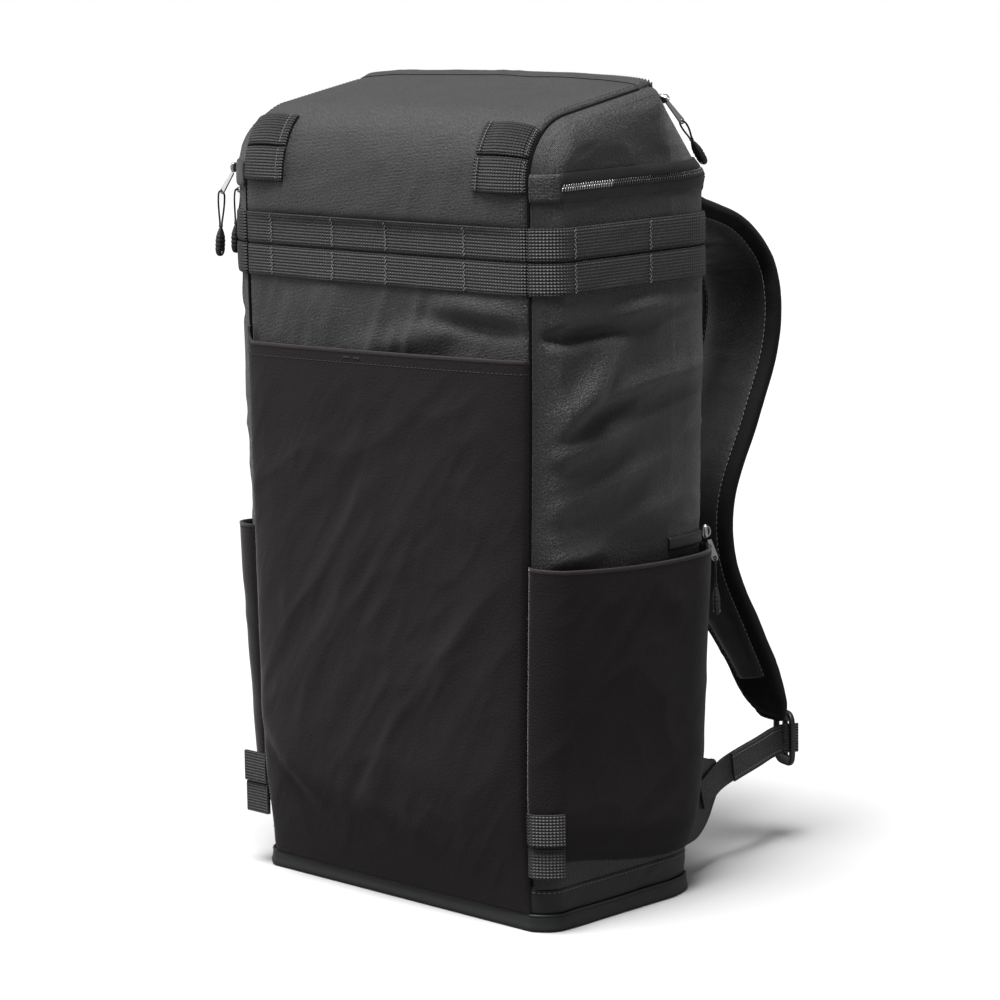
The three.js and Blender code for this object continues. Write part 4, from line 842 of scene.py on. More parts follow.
class BackpackColours(bpy.types.PropertyGroup):
    """Colours of the bag's finishes"""
    cloth: colour_setting("Cloth", "Front, side and top panels", (0.0160, 0.0162, 0.0173))
    stretch: colour_setting("Stretch cloth", "Front and side pockets", (0.0112, 0.0090, 0.0104))
    webbing: colour_setting("Webbing", "Bands, loops and zipper tapes", (0.0140, 0.0142, 0.0152))
    coated: colour_setting("Coated cloth", "Base, wings and tab", (0.0112, 0.0121, 0.0118))
    padding: colour_setting("Padding", "Back panel and strap edges", (0.0055, 0.0055, 0.006))
    lining: colour_setting("Strap lining", "Inner face of the straps", (0.0135, 0.0139, 0.0148))
    thread: colour_setting("Thread", "Stitches", (0.16, 0.16, 0.165))
    steel: colour_setting("Steel", "Sliders and pullers", (0.42, 0.42, 0.43))
    moulded: colour_setting("Moulded plastic", "Buckles", (0.006, 0.006, 0.0065))
    grip: colour_setting("Grip rubber", "Zipper grips", (0.006, 0.006, 0.0063))


class BackpackSizes(bpy.types.PropertyGroup):
    """Sizes of the weave, stitches and teeth"""
    weave_pitch: length_setting("Weave pitch", "Thread spacing of the panels", 0.0011)
    knit_pitch: length_setting("Knit pitch", "Loop spacing of the pockets", 0.0013)
    rib_pitch: length_setting("Rib pitch", "Rib spacing of the webbing", 0.0024)
    tooth_pitch: length_setting("Tooth pitch", "Spacing of the zipper coil", 0.0027)
    hem_height: length_setting("Hem height", "Height of the rolled pocket hems", 0.0024)


class BackpackStage(bpy.types.PropertyGroup):
    """Camera and light"""
    lens: bpy.props.FloatProperty(
        name="Lens", description="Focal length on a 36 mm sensor, in mm", default=117.3, min=20)
    eye: bpy.props.FloatVectorProperty(
        name="Camera place", description="Where the camera stands", subtype="XYZ",
        unit="LENGTH", default=(1.77826, -1.89454, 0.71388))
    heading: bpy.props.FloatProperty(
        name="Heading", description="Turn of the view about the vertical", subtype="ANGLE",
        unit="ROTATION", default=math.radians(42.82))
    dip: bpy.props.FloatProperty(
        name="Dip", description="How far the view looks down", subtype="ANGLE",
        unit="ROTATION", default=math.radians(8.82))
    key: bpy.props.FloatProperty(
        name="Key light", description="Strength of the main soft light from above", default=8.0, min=0)
    sky: bpy.props.FloatProperty(
        name="Sky light", description="Light of the pale surroundings", default=0.3, min=0)


# The floor's half width and its drop under the bag, in metres
FLOOR_REACH, FLOOR_DROP = 14.0, 0.0005

MATERIALS = {}
# The coil's bright metal, a painted highlight at the front of the side coils, and the coil's own dark
HIGHLIGHT_TEETH, DARK_TEETH = [0.36, 0.36, 0.37], [0.03, 0.03, 0.032]


def material(name):
    """The bag's materials, made once each from the panel's settings."""
    if name in MATERIALS:
        return MATERIALS[name]
    tones = bpy.context.scene.backpack_colours
    sizes = bpy.context.scene.backpack_sizes
    base = {key: list(getattr(tones, key)) for key in tones.__annotations__}
    shade = lambda key, by: [c * by for c in base[key]]
    makers = {
        "cloth": lambda: woven("Panel cloth", base["cloth"], 0.5, sizes.weave_pitch, 0.0003,
                               spread=0.85, sheen=0.13, gloss=0.38),
        "stretch": lambda: woven("Stretch cloth", base["stretch"], 0.75, sizes.knit_pitch, 0.00012,
                                 diagonal=0.5, spread=0.3, sheen=0.1, gloss=0.12),
        "padding": lambda: woven("Padding", base["padding"], 0.8, 0.0016, 0.00016,
                                 diagonal=0.3, spread=0.3, sheen=0.05, gloss=0.12),
        "lining": lambda: woven("Strap lining", base["lining"], 0.45, 0.0012, 0.0001,
                                spread=0.3, sheen=0.2, gloss=0.4),
        # Painted highlight: the hem rim is the stretch cloth made 2.2 times lighter, standing in for
        # light along the rolled edge
        "rim": lambda: woven("Hem rim painted highlight", shade("stretch", 2.2), 0.7, 0.0012, 0.0001,
                             diagonal=0.4, spread=0.3, sheen=0.2, gloss=0.15),
        "cord": lambda: woven("Cord", shade("webbing", 0.7), 0.7, 0.0009, 0.00012, diagonal=0.6),
        "webbing": lambda: ribbed("Webbing", base["webbing"], 0.5, sizes.rib_pitch, 0.0011, 0.95),
        "tape": lambda: ribbed("Zipper tape", shade("webbing", 0.6), 0.6, 0.0012, 0.0001),
        "coated": lambda: grained("Coated cloth", base["coated"], 0.5, 1400.0, 0.00008,
                                  specular_ior_level=0.3),
        # Painted shade: the rolled seam cord is far darker than the cloth, standing in for the shade of
        # the crease
        "seam": lambda: grained("Seam roll painted shade", shade("padding", 0.4), 0.9, 1400.0, 0.00004,
                                specular_ior_level=0.1),
        "thread": lambda: grained("Thread", base["thread"], 0.6, 2600.0, 0.00004),
        "dark thread": lambda: grained("Dark thread", shade("cloth", 1.2), 0.6, 2600.0, 0.00004),
        "steel": lambda: grained("Brushed steel", base["steel"], 0.32, 1800.0, 0.00002,
                                 spread=0.2, metallic=1.0),
        # Painted highlight: bright metal for the front share of the side coils
        "painted_highlight": lambda: grained("Painted highlight teeth", HIGHLIGHT_TEETH, 0.3, 2400.0, 0.00002,
                                  spread=0.2, metallic=0.8),
        "tooth": lambda: grained("Zipper coil", DARK_TEETH, 0.3, 2400.0, 0.00002),
        "moulded": lambda: grained("Moulded plastic", base["moulded"], 0.42, 2200.0, 0.00003),
        "rubber": lambda: grained("Grip rubber", base["grip"], 0.6, 2200.0, 0.00005),
    }
    MATERIALS[name] = makers[name]()
    return MATERIALS[name]


# Pieces


class StageOperator(bpy.types.Operator):
    """Place the camera, the soft lights and the pale floor"""
    bl_idname = "backpack.stage"
    bl_label = "Stage"

    def execute(self, context):
        stage = context.scene.backpack_stage
        s, c = math.sin(stage.heading), math.cos(stage.heading)
        sp, cp = math.sin(stage.dip), math.cos(stage.dip)
        ahead = Vector((-s * cp, c * cp, -sp))
        right = Vector((c, s, 0))
        up = right.cross(ahead)
        data = bpy.data.cameras.new("Camera")
        data.lens, data.sensor_width = stage.lens, 36.0
        data.clip_end = 50
        camera = bpy.data.objects.new("Camera", data)
        turned = Matrix((right, up, -ahead)).transposed().to_4x4()
        camera.matrix_world = Matrix.Translation(Vector(stage.eye)) @ turned
        context.scene.collection.objects.link(camera)
        context.scene.camera = camera
        self.lights(context, stage)
        self.floor(context)
        context.scene.view_settings.view_transform = "Standard"
        return {"FINISHED"}

    def lights(self, context, stage):
        """Pale surroundings, white to the camera, and two wide suns."""
        world = bpy.data.worlds.new("Studio")
        context.scene.world = world
        world.use_nodes = True
        tree = world.node_tree
        sky = tree.nodes["Background"]
        sky.inputs["Color"].default_value = (1, 1, 1, 1)
        sky.inputs["Strength"].default_value = stage.sky
        backdrop = tree.nodes.new("ShaderNodeBackground")
        backdrop.inputs["Color"].default_value = (1, 1, 1, 1)
        seen = tree.nodes.new("ShaderNodeLightPath")
        both = tree.nodes.new("ShaderNodeMixShader")
        tree.links.new(seen.outputs["Is Camera Ray"], both.inputs[0])
        tree.links.new(sky.outputs[0], both.inputs[1])
        tree.links.new(backdrop.outputs[0], both.inputs[2])
        tree.links.new(both.outputs[0], tree.nodes["World Output"].inputs["Surface"])
        lamps = (
            ("Key", (0.05, -0.28, 1.0), 26, stage.key),
            ("Left", (-1.0, -0.5, 0.5), 40, stage.key * 0.10),
        )
        for name, way, spread, power in lamps:
            data = bpy.data.lights.new(name, "SUN")
            data.energy, data.angle = power, math.radians(spread)
            lamp = bpy.data.objects.new(name, data)
            lamp.location = Vector(way) * 3
            lamp.rotation_euler = (-Vector(way)).to_track_quat("-Z", "Y").to_euler()
            context.scene.collection.objects.link(lamp)

    def floor(self, context):
        """A wide plane just under the bag."""
        mesh = bpy.data.meshes.new("floor")
        corners = ((-1, -1), (1, -1), (1, 1), (-1, 1))
        points = [(x * FLOOR_REACH, y * FLOOR_REACH, -FLOOR_DROP) for x, y in corners]
        mesh.from_pydata(points, [], [(0, 1, 2, 3)])
        floor = bpy.data.objects.new("floor", mesh)
        finish = Finish("Pale floor", 0.7)
        patches = finish.noise(finish.place(use_map=False), 4.0)
        finish.colour(patches, (0.4, 0.4, 0.4), (0.42, 0.42, 0.42))
        finish.dim_bounce(0.2)
        mesh.materials.append(finish.material)
        context.scene.collection.objects.link(floor)


SLANT_DOWN = unit([0, *(SLANT_END - TOP_BACK)])
SLANT_OFF = np.cross([1, 0, 0], SLANT_DOWN)


def tape_height(share, off):
    """Height of a line of the side zipper's tape, bent down and narrowed at the back corner."""
    top = outline_top(depth_at(share, BACK_TOP)) - 1
    middle = np.minimum(ZIP_HEIGHT + ZIP_RISE * share, top - ZIP_COIL)
    room = np.minimum(1, (top - middle) / (ZIP_TAPE / 2))
    return middle + np.where(off > 0, off * room, off)


def side_seat(share, lift):
    """A slider's seat on the left zipper, clear of the highest point under its foot."""
    z = float(tape_height(np.array(share), np.array(0.0))) + SLIDER_UP
    y = float(depth_at(share, z))
    ends = np.array([-1, 0, 1])
    dy, dz = np.meshgrid(ends * SLIDER_LENGTH / 2, ends * SLIDER_WIDTH / 2)
    foot = over_side(-1, y + dy, z + dz, lift)[..., 0].min()
    return np.array([foot - SEAM_GAP - SLIDER_HEIGHT / 2, y, z])


def corner_seat():
    """The pocket pull's seat: out and back from the panel's back corner, above the hem."""
    z = SIDE_HEM + CORNER_UP
    return np.array([seam_half(z) + CORNER_OUT, back_at(z) + CORNER_BACK, z])


def slant_seat():
    """The top pull's seat: down the slant from the top edge, off its face and past the seam."""
    p = np.array([0, *TOP_BACK]) + SLANT_DOWN * TOP_SLIDER_DOWN
    p = p + SLANT_OFF * (SLIDER_HEIGHT / 2 + 2 * SEAM_GAP)
    p[0] = seam_half(p[2]) + TOP_SLIDER_OUT
    return p


def pull_table():
    """Each pull: side, zipper's way, way out, seat, ways off and down, then hole, grip and tip."""
    down, ahead = np.array([0, 0, -1.0]), np.array([0, -1.0, 0])
    on_web = side_seat(FRONT_PULL_SHARE, 2 * SEAM_GAP + WEB_THICK)
    on_coil = side_seat(BACK_PULL_SHARE, TRIM_GAP + ZIP_THICK + COIL_PROUD)
    return (
        ("left_pull_front", -1, (0, 1, 0), (-1, 0, 0), on_web, ahead, down,
         (0.454, 0.242, 0.818), (0.454, 0.323, 2.039), (0.496, 0.364, 3.045)),
        ("left_pull_back", -1, (0, 1, 0), (-1, 0, 0), on_coil, ahead, down,
         (0.258, 0.323, 0.805), (0.175, 0.525, 1.972), (0.217, 0.525, 2.951)),
        ("pocket_pull", 1, (0, 0, 1), (0.7, 0.7, 0), corner_seat(), ahead, down,
         (0.346, 0, 0.858), (0.344, -0.04, 1.797), (0.346, -0.081, 2.817)),
        ("top_pull", 1, (1, 0, 0), tuple(SLANT_OFF), slant_seat(), SLANT_OFF, SLANT_DOWN,
         (0.088, 0.103, 1.081), (0.129, 0.049, 1.862), (0.171, 0.003, 2.77)),
    )


class PullsOperator(bpy.types.Operator):
    """Make the four zipper pulls: cords, grips and sliders"""
    bl_idname = "backpack.pulls"
    bl_label = "Zipper pulls"

    def execute(self, context):
        for name, side, way, face, seat, off, down, *places in pull_table():
            self.one(name, side, unit(way), unit(face), seat, off, down, places)
        return {"FINISHED"}

    def one(self, name, side, way, face, seat, off, down, places):
        """Places the eye, neck and tip by shares of the grip's length from the seat."""
        at = lambda p: seat + GRIP_LENGTH * (side * p[0] * np.array([1, 0, 0]) + p[1] * off + p[2] * down)
        eye, neck, tip = (at(p) for p in places)
        drop_way = unit(eye - seat)
        outward = unit(face - (face @ drop_way) * drop_way)
        across = np.cross(drop_way, outward)
        cord = self.cord(name, eye, neck, across)
        grip = self.grip(name, neck, unit(tip - neck), across)
        self.slider(name, seat, way, face)
        keep(material("steel"), f"{name}_puller")

    def cord(self, name, eye, neck, across):
        """Two strands from the grip that meet in a half circle through the puller's hole."""
        hang, reach = unit(neck - eye), float(np.linalg.norm(neck - eye)) - 0.9
        strand = lambda sign: [
            eye + hang * (CORD_LOOP + share * (reach - CORD_LOOP)) + across * (sign * wide * CORD_LOOP)
            for share, wide in ((0.9, 0.35), (0.5, 0.8), (0.25, 1))
        ]
        turn = [
            eye + hang * CORD_LOOP * (1 - math.sin(a)) - across * CORD_LOOP * math.cos(a)
            for a in np.linspace(0, math.pi, 7)
        ]
        end = lambda sign: eye + hang * reach + across * (sign * CORD_DIAMETER * 0.7)
        knots = np.array([end(-1), *strand(-1), *turn, *reversed(strand(1)), end(1)])
        route = catmull(knots, np.linspace(0, 1, 73))
        route[:, 0] -= SIDE_LEAN * route[:, 2] / FLARE_TOP
        curve = bpy.data.curves.new(f"{name}_line", "CURVE")
        curve.dimensions = "3D"
        curve.bevel_depth, curve.bevel_resolution = CORD_DIAMETER / 2000, 3
        curve.use_fill_caps = True
        spline = curve.splines.new("POLY")
        spline.points.add(len(route) - 1)
        spline.points.foreach_set("co", np.column_stack([route / 1000, np.ones(len(route))]).ravel())
        spline.use_smooth = True
        curve.materials.append(material("cord"))
        cord = bpy.data.objects.new(f"{name}_line", curve)
        bpy.context.scene.collection.objects.link(cord)
        return dress(cord, "webbing", f"{name}_cord")

    def grip(self, name, neck, way, across):
        """A moulded bar with rounded ends, finger ribs 1 + 0.05 sin and a small steel stud."""
        flat = unit(across - (across @ way) * way)
        through = np.cross(way, flat)
        t = np.linspace(0, 1, 61)
        ends = (np.maximum(0, 1 - np.abs(2 * t - 1) ** 5)) ** 0.5
        ribs = 1 + 0.05 * np.sin(t * 2 * math.pi * 7) * smooth((t - 0.2) * 6) * smooth((0.85 - t) * 6)
        broad = lerp(0.55, 1, smooth(t * 2.2)) * ends * ribs
        middle = neck + t[:, None] * way * GRIP_LENGTH
        form = Form()
        form.bar(middle, flat, through, broad * GRIP_WIDTH + 0.4,
                 broad * GRIP_THICK + 0.4, superellipse(24, 3))
        knot = neck - way * 0.6
        turns = np.linspace(0, 2 * math.pi, 9, endpoint=False)[:, None]
        ring = knot + 1.0 * (np.cos(turns) * flat + np.sin(turns) * through)
        wound = -np.sin(turns) * flat + np.cos(turns) * through + 0.4 * way
        form.beads(ring, wound, way[None] + 0 * ring, 1.3, 0.8, 0.9)
        grip = form.piece(f"{name}_moulding", "rubber", "rubber", f"{name}_grip")
        stud = Form()
        spot = neck + way * GRIP_LENGTH * 0.86
        for side in (-1, 1):
            face = spot + side * through * (GRIP_THICK / 2 - 0.1)
            stud.beads(face[None], through[None] * side, way[None], 0.5, 1.15, 1.15)
        stud.piece(f"{name}_stud", "steel", "metal")
        return grip

    def slider(self, name, seat, way, face):
        """A slider: a low waisted body with a bridge over it, both rounded."""
        broad = np.cross(way, face)
        t = np.linspace(-0.5, 0.5, 25)
        ends = np.sqrt(np.maximum(0.02, 1 - np.abs(2 * t) ** 6))
        waist = lerp(1.0, 0.62, smooth((t + 0.1) / 0.6))
        form = Form()
        body = seat + t[:, None] * way * SLIDER_LENGTH - face * SLIDER_HEIGHT * 0.18
        form.bar(body, broad, face, SLIDER_WIDTH * waist * ends,
                 SLIDER_HEIGHT * 0.62 * ends, superellipse(20, 4))
        arch = np.linspace(0, math.pi, 21)[:, None]
        rise = face * (np.sin(arch) * BRIDGE_RISE + 0.3)
        bridge = seat - way * np.cos(arch) * SLIDER_LENGTH * 0.36 + rise
        along = tangents(bridge)
        form.bar(bridge, broad, np.cross(along, broad), BRIDGE_WIDTH, BRIDGE_THICK, superellipse(12, 4))
        form.piece(f"{name}_runner", "steel", "metal", f"{name}_slider")


def section_at(z, out):
    """The body's section at a height, moved out along its own normals, as one closed ring."""
    across = np.linspace(-1, 1, 121)[1:-1]
    front = np.stack([across * seam_half(z), -front_at(z) - crown_at(across, z)], -1)
    share = np.concatenate([
        np.linspace(0, 0.11, 28), np.linspace(0.11, 0.8, 60)[1:-1], np.linspace(0.8, 1, 30),
    ])
    right = on_side(1, depth_at(share, z), np.full(share.shape, z))[:, :2]
    back = np.stack([np.linspace(1, -1, 62)[1:-1] * seam_half(z), np.full(60, back_at(z))], -1)
    left = (right * [-1, 1])[::-1]
    ring = np.concatenate([front, right, back, left])
    along = unit(np.roll(ring, -2, axis=0) - np.roll(ring, 2, axis=0))
    moved = ring + out * np.stack([along[:, 1], -along[:, 0]], -1)
    return np.column_stack([moved, np.full(len(moved), z)])


def ring_grid(profile):
    """The body's section at each height and way out of a profile, side by side."""
    return np.stack([section_at(z, out) for z, out in profile], 1)


def ringed(profile, foot, name, node):
    """A coated piece round the body's section: heights and ways out, over a plain inner face."""
    inner = ring_grid([(z, foot) for z, _ in profile])
    return sewn(ring_grid(profile), inner, name, "coated", "coated", node, ring=True)


class BaseOperator(bpy.types.Operator):
    """Make the base: flared welt with its piping, coated band and its seam"""
    bl_idname = "backpack.base"
    bl_label = "Base"

    def execute(self, context):
        """The welt's profile is a lip that flares at the floor, drawn round the body's section."""
        keep(material("coated"), "base_panel")
        ringed(WELT_PROFILE, -BASE_INSET + SEAM_GAP, "welt_skin", "base_welt")
        piping = Form()
        turn = np.linspace(0, 2 * math.pi, 14, endpoint=False)
        circle = np.stack([np.sin(turn), np.cos(turn)], -1)
        piping.tube(ring_grid(PIPING_AT + PIPING_RADIUS * circle), closed=True)
        piping.piece("welt_piping", "coated", "coated")
        t = np.linspace(0, 1, 12)
        band_z = lerp(WELT_HEIGHT + SEAM_GAP, BAND_HEIGHT - SEAM_GAP, t)
        puff = 0.9 * np.sin(math.pi * t) ** 0.6
        ringed(list(zip(band_z, puff)), -BAND_WALL, "band_skin", "base_band")
        line = section_at(BAND_HEIGHT - BAND_SEAM_DROP, 0.95)
        up = unit(section_at(BAND_HEIGHT - BAND_SEAM_DROP, 2) - line)
        seam = [(np.vstack([line, line[:1]]), np.vstack([up, up[:1]]))]
        stitched(seam, "base", "band_stitches", "thread", "coated")
        return {"FINISHED"}


ACROSS = np.sin(np.linspace(-math.pi / 2, math.pi / 2, 151)) * 0.55 + np.linspace(-1, 1, 151) * 0.45


class FrontOperator(bpy.types.Operator):
    """Make the front and top panel, the back top and their seam stitches"""
    bl_idname = "backpack.front"
    bl_label = "Front and top"

    def execute(self, context):
        """Each panel is a grid of shares across and runs along a side-view line."""
        total, slant = line_length(FRONT_LINE), line_length(SLANT_LINE)
        panels = (
            (over_front, np.linspace(BAND_HEIGHT, total, 230), "front_cloth", "front_panel"),
            (over_slant, np.linspace(0.4, slant, 70), "back_top_cloth", "back_top_panel"),
        )
        for over, runs, name, node in panels:
            a, r = np.meshgrid(ACROSS, runs, indexing="ij")
            cloth = sewn(over(a, r, 0.0), over(a, r, -PANEL_WALL), name, "cloth", "cloth", node)
        run = np.linspace(POCKET_HEM + 20, total - 14, 260)
        lines = []
        for side in (-1, 1):
            share = side * (1 - 4.5 / seam_half(np.minimum(run, FRONT_TOP)))
            line = over_front(share, run, STITCH_LIFT)
            lines.append((line, unit(over_front(share, run, 1.0) - line)))
        stitched(lines, "panel", "front_stitches", "dark thread", "cloth")
        return {"FINISHED"}


FINE_SHARES = np.concatenate([
    np.linspace(0, 0.11, 26), np.linspace(0.11, 0.8, 74)[1:-1], np.linspace(0.8, 1, 26),
])


class SidesOperator(bpy.types.Operator):
    """Make both side panels with their rolled seams, dark as painted shade of the crease, and stitches"""
    bl_idname = "backpack.sides"
    bl_label = "Side panels"

    def execute(self, context):
        """A grid of depth shares and heights up to the outline, closer together at the top."""
        for label, side in SIDES:
            top = outline_top(depth_at(FINE_SHARES, BACK_TOP))[:, None]
            s = 1 - (1 - np.linspace(0, 1, 190)) ** 1.35
            z = lerp(BAND_HEIGHT, top, s[None])
            share = np.broadcast_to(FINE_SHARES[:, None], z.shape)
            y = depth_at(share, z)
            faces = over_sides(side, y, z, 0.0, -PANEL_WALL)
            piece = sewn(*faces, f"side_cloth_{label}", "cloth", "cloth", f"side_panel_{label}")
            self.seam(label, side)
            self.crease(label, side)
        return {"FINISHED"}

    def crease(self, label, side):
        """The rolled seam between front and side, a thin round cord along the edge, dark as painted shade
        of the crease.
        """
        run = np.linspace(BAND_HEIGHT + 2, line_length(FRONT_LINE) - 12, 300)
        point, normal = along_line(FRONT_LINE, run)
        x = side * (seam_half(point[:, 1]) + ROLL_OUT)
        centre = np.stack([x, *(point - normal * ROLL_DEEP).T], -1)
        out = np.column_stack([np.zeros(len(run)), normal])
        form = Form()
        form.bar(centre, [1.0, 0, 0], out, SEAM_ROLL_WIDTH, SEAM_ROLL_HEIGHT, superellipse(10, 2))
        # The cord's dark finish is painted shade of the seam crease
        form.piece(f"seam_shade_roll_{label}", "seam", "cloth")

    def seam(self, label, side):
        """Stitches beside the seam, on a line a little inside the outline."""
        run = np.linspace(POCKET_HEM + 12, line_length(FRONT_LINE) - 6, 240)
        point, normal = along_line(FRONT_LINE, run)
        inside = point - normal * SEAM_OFF
        line = over_side(side, inside[:, 0], inside[:, 1], STITCH_LIFT)
        up = unit(over_side(side, inside[:, 0], inside[:, 1], 1.0) - line)
        stitched([(line, up)], "panel", f"side_stitches_{label}", "dark thread", "cloth")


class BackOperator(bpy.types.Operator):
    """Make the padded back with its sewn channels"""
    bl_idname = "backpack.back"
    bl_label = "Back"

    def execute(self, context):
        """Two columns of pads: crown |sin| between channels, on the upright back."""
        top = BACK_TOP - BACK_HEM - SEAM_GAP
        a, z = np.meshgrid(np.linspace(-1, 1, 121), np.linspace(BAND_HEIGHT, top, 220), indexing="ij")
        column = np.abs(np.sin(math.pi * np.clip((np.abs(a) - 0.05) / 0.87, 0, 1)))
        column = np.where(np.abs(a) < 0.05, 0, column) ** 0.45
        row = np.abs(np.sin(math.pi * (z - BAND_HEIGHT) / PAD_ROW)) ** 0.4
        crown = 4 * crown_share(a) * np.sin(math.pi * z / top)
        soft = 0.5 * crumple(a * BASE_HALF, z, 22, 10, 2, 51) * (1 - np.abs(a) ** 8)
        out = crown * 0.4 + PAD_HIGH * column * row + soft * column
        skin = np.stack([a * seam_half(z), back_at(z) + out, z], -1)
        inner = np.stack([a * seam_half(z), back_at(z) - 12, z], -1)
        piece = sewn(skin, inner, "back_pad", "padding", "padding", "back_panel")
        return {"FINISHED"}


def hem_grid(across, edge):
    """Places across, heights about a pocket's edge and the fullness of its rolled hem there."""
    high = bpy.context.scene.backpack_sizes.hem_height * 1000
    across, s = np.meshgrid(across, np.linspace(0, 1, 9), indexing="ij")
    return across, edge(across) - high + s * (high + 0.6), 0.35 * np.sin(math.pi * s) ** 0.5


class PocketsOperator(bpy.types.Operator):
    """Make the front and side pockets with their bound hems"""
    bl_idname = "backpack.pockets"
    bl_label = "Pockets"

    def execute(self, context):
        self.front()
        for label, side in SIDES:
            self.side(label, side)
        return {"FINISHED"}

    def front_skin(self, a, z, lift):
        """The front pocket's place: straight front + crown + stand-off + folds + wrinkles."""
        up = z / pocket_hem(a)
        held = crown_share(a)
        x = a * BASE_HALF
        soft = 1.5 * crumple(x, z, 38, 52, 2.6, 61) + 0.5 * crumple(x, z, 17, 60, 2.6, 67)
        raised = folds(POCKET_FOLDS, a, z, BASE_HALF) + soft * smooth(up * 5) * smooth((1 - up) * 8)
        out = crown_at(a, z) + stand_off(a, up, *FRONT_POCKET) + raised * held
        return np.stack([a * seam_half(z), -front_at(z) - out - lift, z], -1)

    def front(self):
        """A grid of shares across and heights from the welt to the hem, on the pocket's place."""
        t = np.linspace(0, 1, 190)
        a, s = np.meshgrid(ACROSS, t, indexing="ij")
        z = lerp(WELT_HEIGHT + SEAM_GAP, pocket_hem(a), s)
        outer = self.front_skin(a, z, SEAM_GAP + POCKET_CLOTH)
        piece = sewn(outer, self.front_skin(a, z, SEAM_GAP), "front_pocket_cloth", "stretch", "stretch",
                     "front_pocket")
        a, z, proud = hem_grid(ACROSS, pocket_hem)
        # The rolled hem, lighter than the pocket as a painted highlight along its edge
        sewn(self.front_skin(a, z, SEAM_GAP + POCKET_CLOTH + 0.05 + proud),
             self.front_skin(a, z, SEAM_GAP - 0.05 - 0.2 * proud), "front_hem", "rim", "stretch")
        high = bpy.context.scene.backpack_sizes.hem_height * 1000
        z = pocket_hem(ACROSS) - high - HEM_STITCH_DROP
        line = self.front_skin(ACROSS, z, SEAM_GAP + POCKET_CLOTH + 0.1)
        stitched([(line, AHEAD)], "pocket", "front_pocket_stitches", "dark thread", "stretch")
        self.hem_tack()

    def hem_tack(self):
        """Two short bars of close stitches under the hem, a hand's width from the left seam."""
        lines = []
        for start in (-32.0, -21.0):
            x = start + np.linspace(0, 7, 18)
            z = np.full(18, POCKET_HEM - 3.2) + 0.7 * (np.arange(18) % 2 * 2 - 1)
            lines.append((self.front_skin(x / seam_half(z), z, SEAM_GAP + POCKET_CLOTH + 0.2), AHEAD))
        stitched(lines, "hem tack", "hem_tack", "dark thread", "stretch")

    def side(self, label, side):
        """A grid of depth shares and heights, off the panel by the stand-off and soft wrinkles."""
        t = np.linspace(0, 1, 120)
        share, s = np.meshgrid(FINE_SHARES, t, indexing="ij")
        z = lerp(side_floor(share), side_hem(share), s)
        soft = 1.3 * crumple(share * 190, z, 30, 56, 2.6, 71 + side) * crown_share(2 * share - 1)
        soft = soft * smooth(s * 5) * smooth((1 - s) * 8)
        lift = np.maximum(side_pocket_lift(share, z) + soft, 0)
        y = depth_at(share, z)
        faces = over_sides(side, y, z, lift + SEAM_GAP + POCKET_CLOTH, lift + SEAM_GAP, self.held(lift))
        piece = sewn(*faces, f"side_pocket_cloth_{label}", "stretch", "stretch", f"side_pocket_{label}")
        share, z, proud = hem_grid(FINE_SHARES, side_hem)
        lift = side_pocket_lift(share, np.minimum(z, side_hem(share)))
        faces = over_sides(side, depth_at(share, z), z, lift + SEAM_GAP + POCKET_CLOTH + 0.05 + proud,
                           lift + SEAM_GAP - 0.05 - 0.2 * proud, self.held(lift))
        # The rolled hem, lighter than the pocket as a painted highlight along its edge
        sewn(*faces, f"side_hem_{label}", "rim", "stretch")

    @staticmethod
    def held(lift):
        """How far a pocket follows the panel's wrinkles: wholly where it lies on it, not past 5 mm."""
        return 1 - smooth(lift / 5)


def edge_profile(count):
    """Rows across a band and how much of its thickness each has: 1 - |2 s - 1|^9, rooted."""
    s = 0.5 - 0.5 * np.cos(np.linspace(0, math.pi, count))
    return s, np.sqrt(np.maximum(0, 1 - np.abs(2 * s - 1) ** 9))


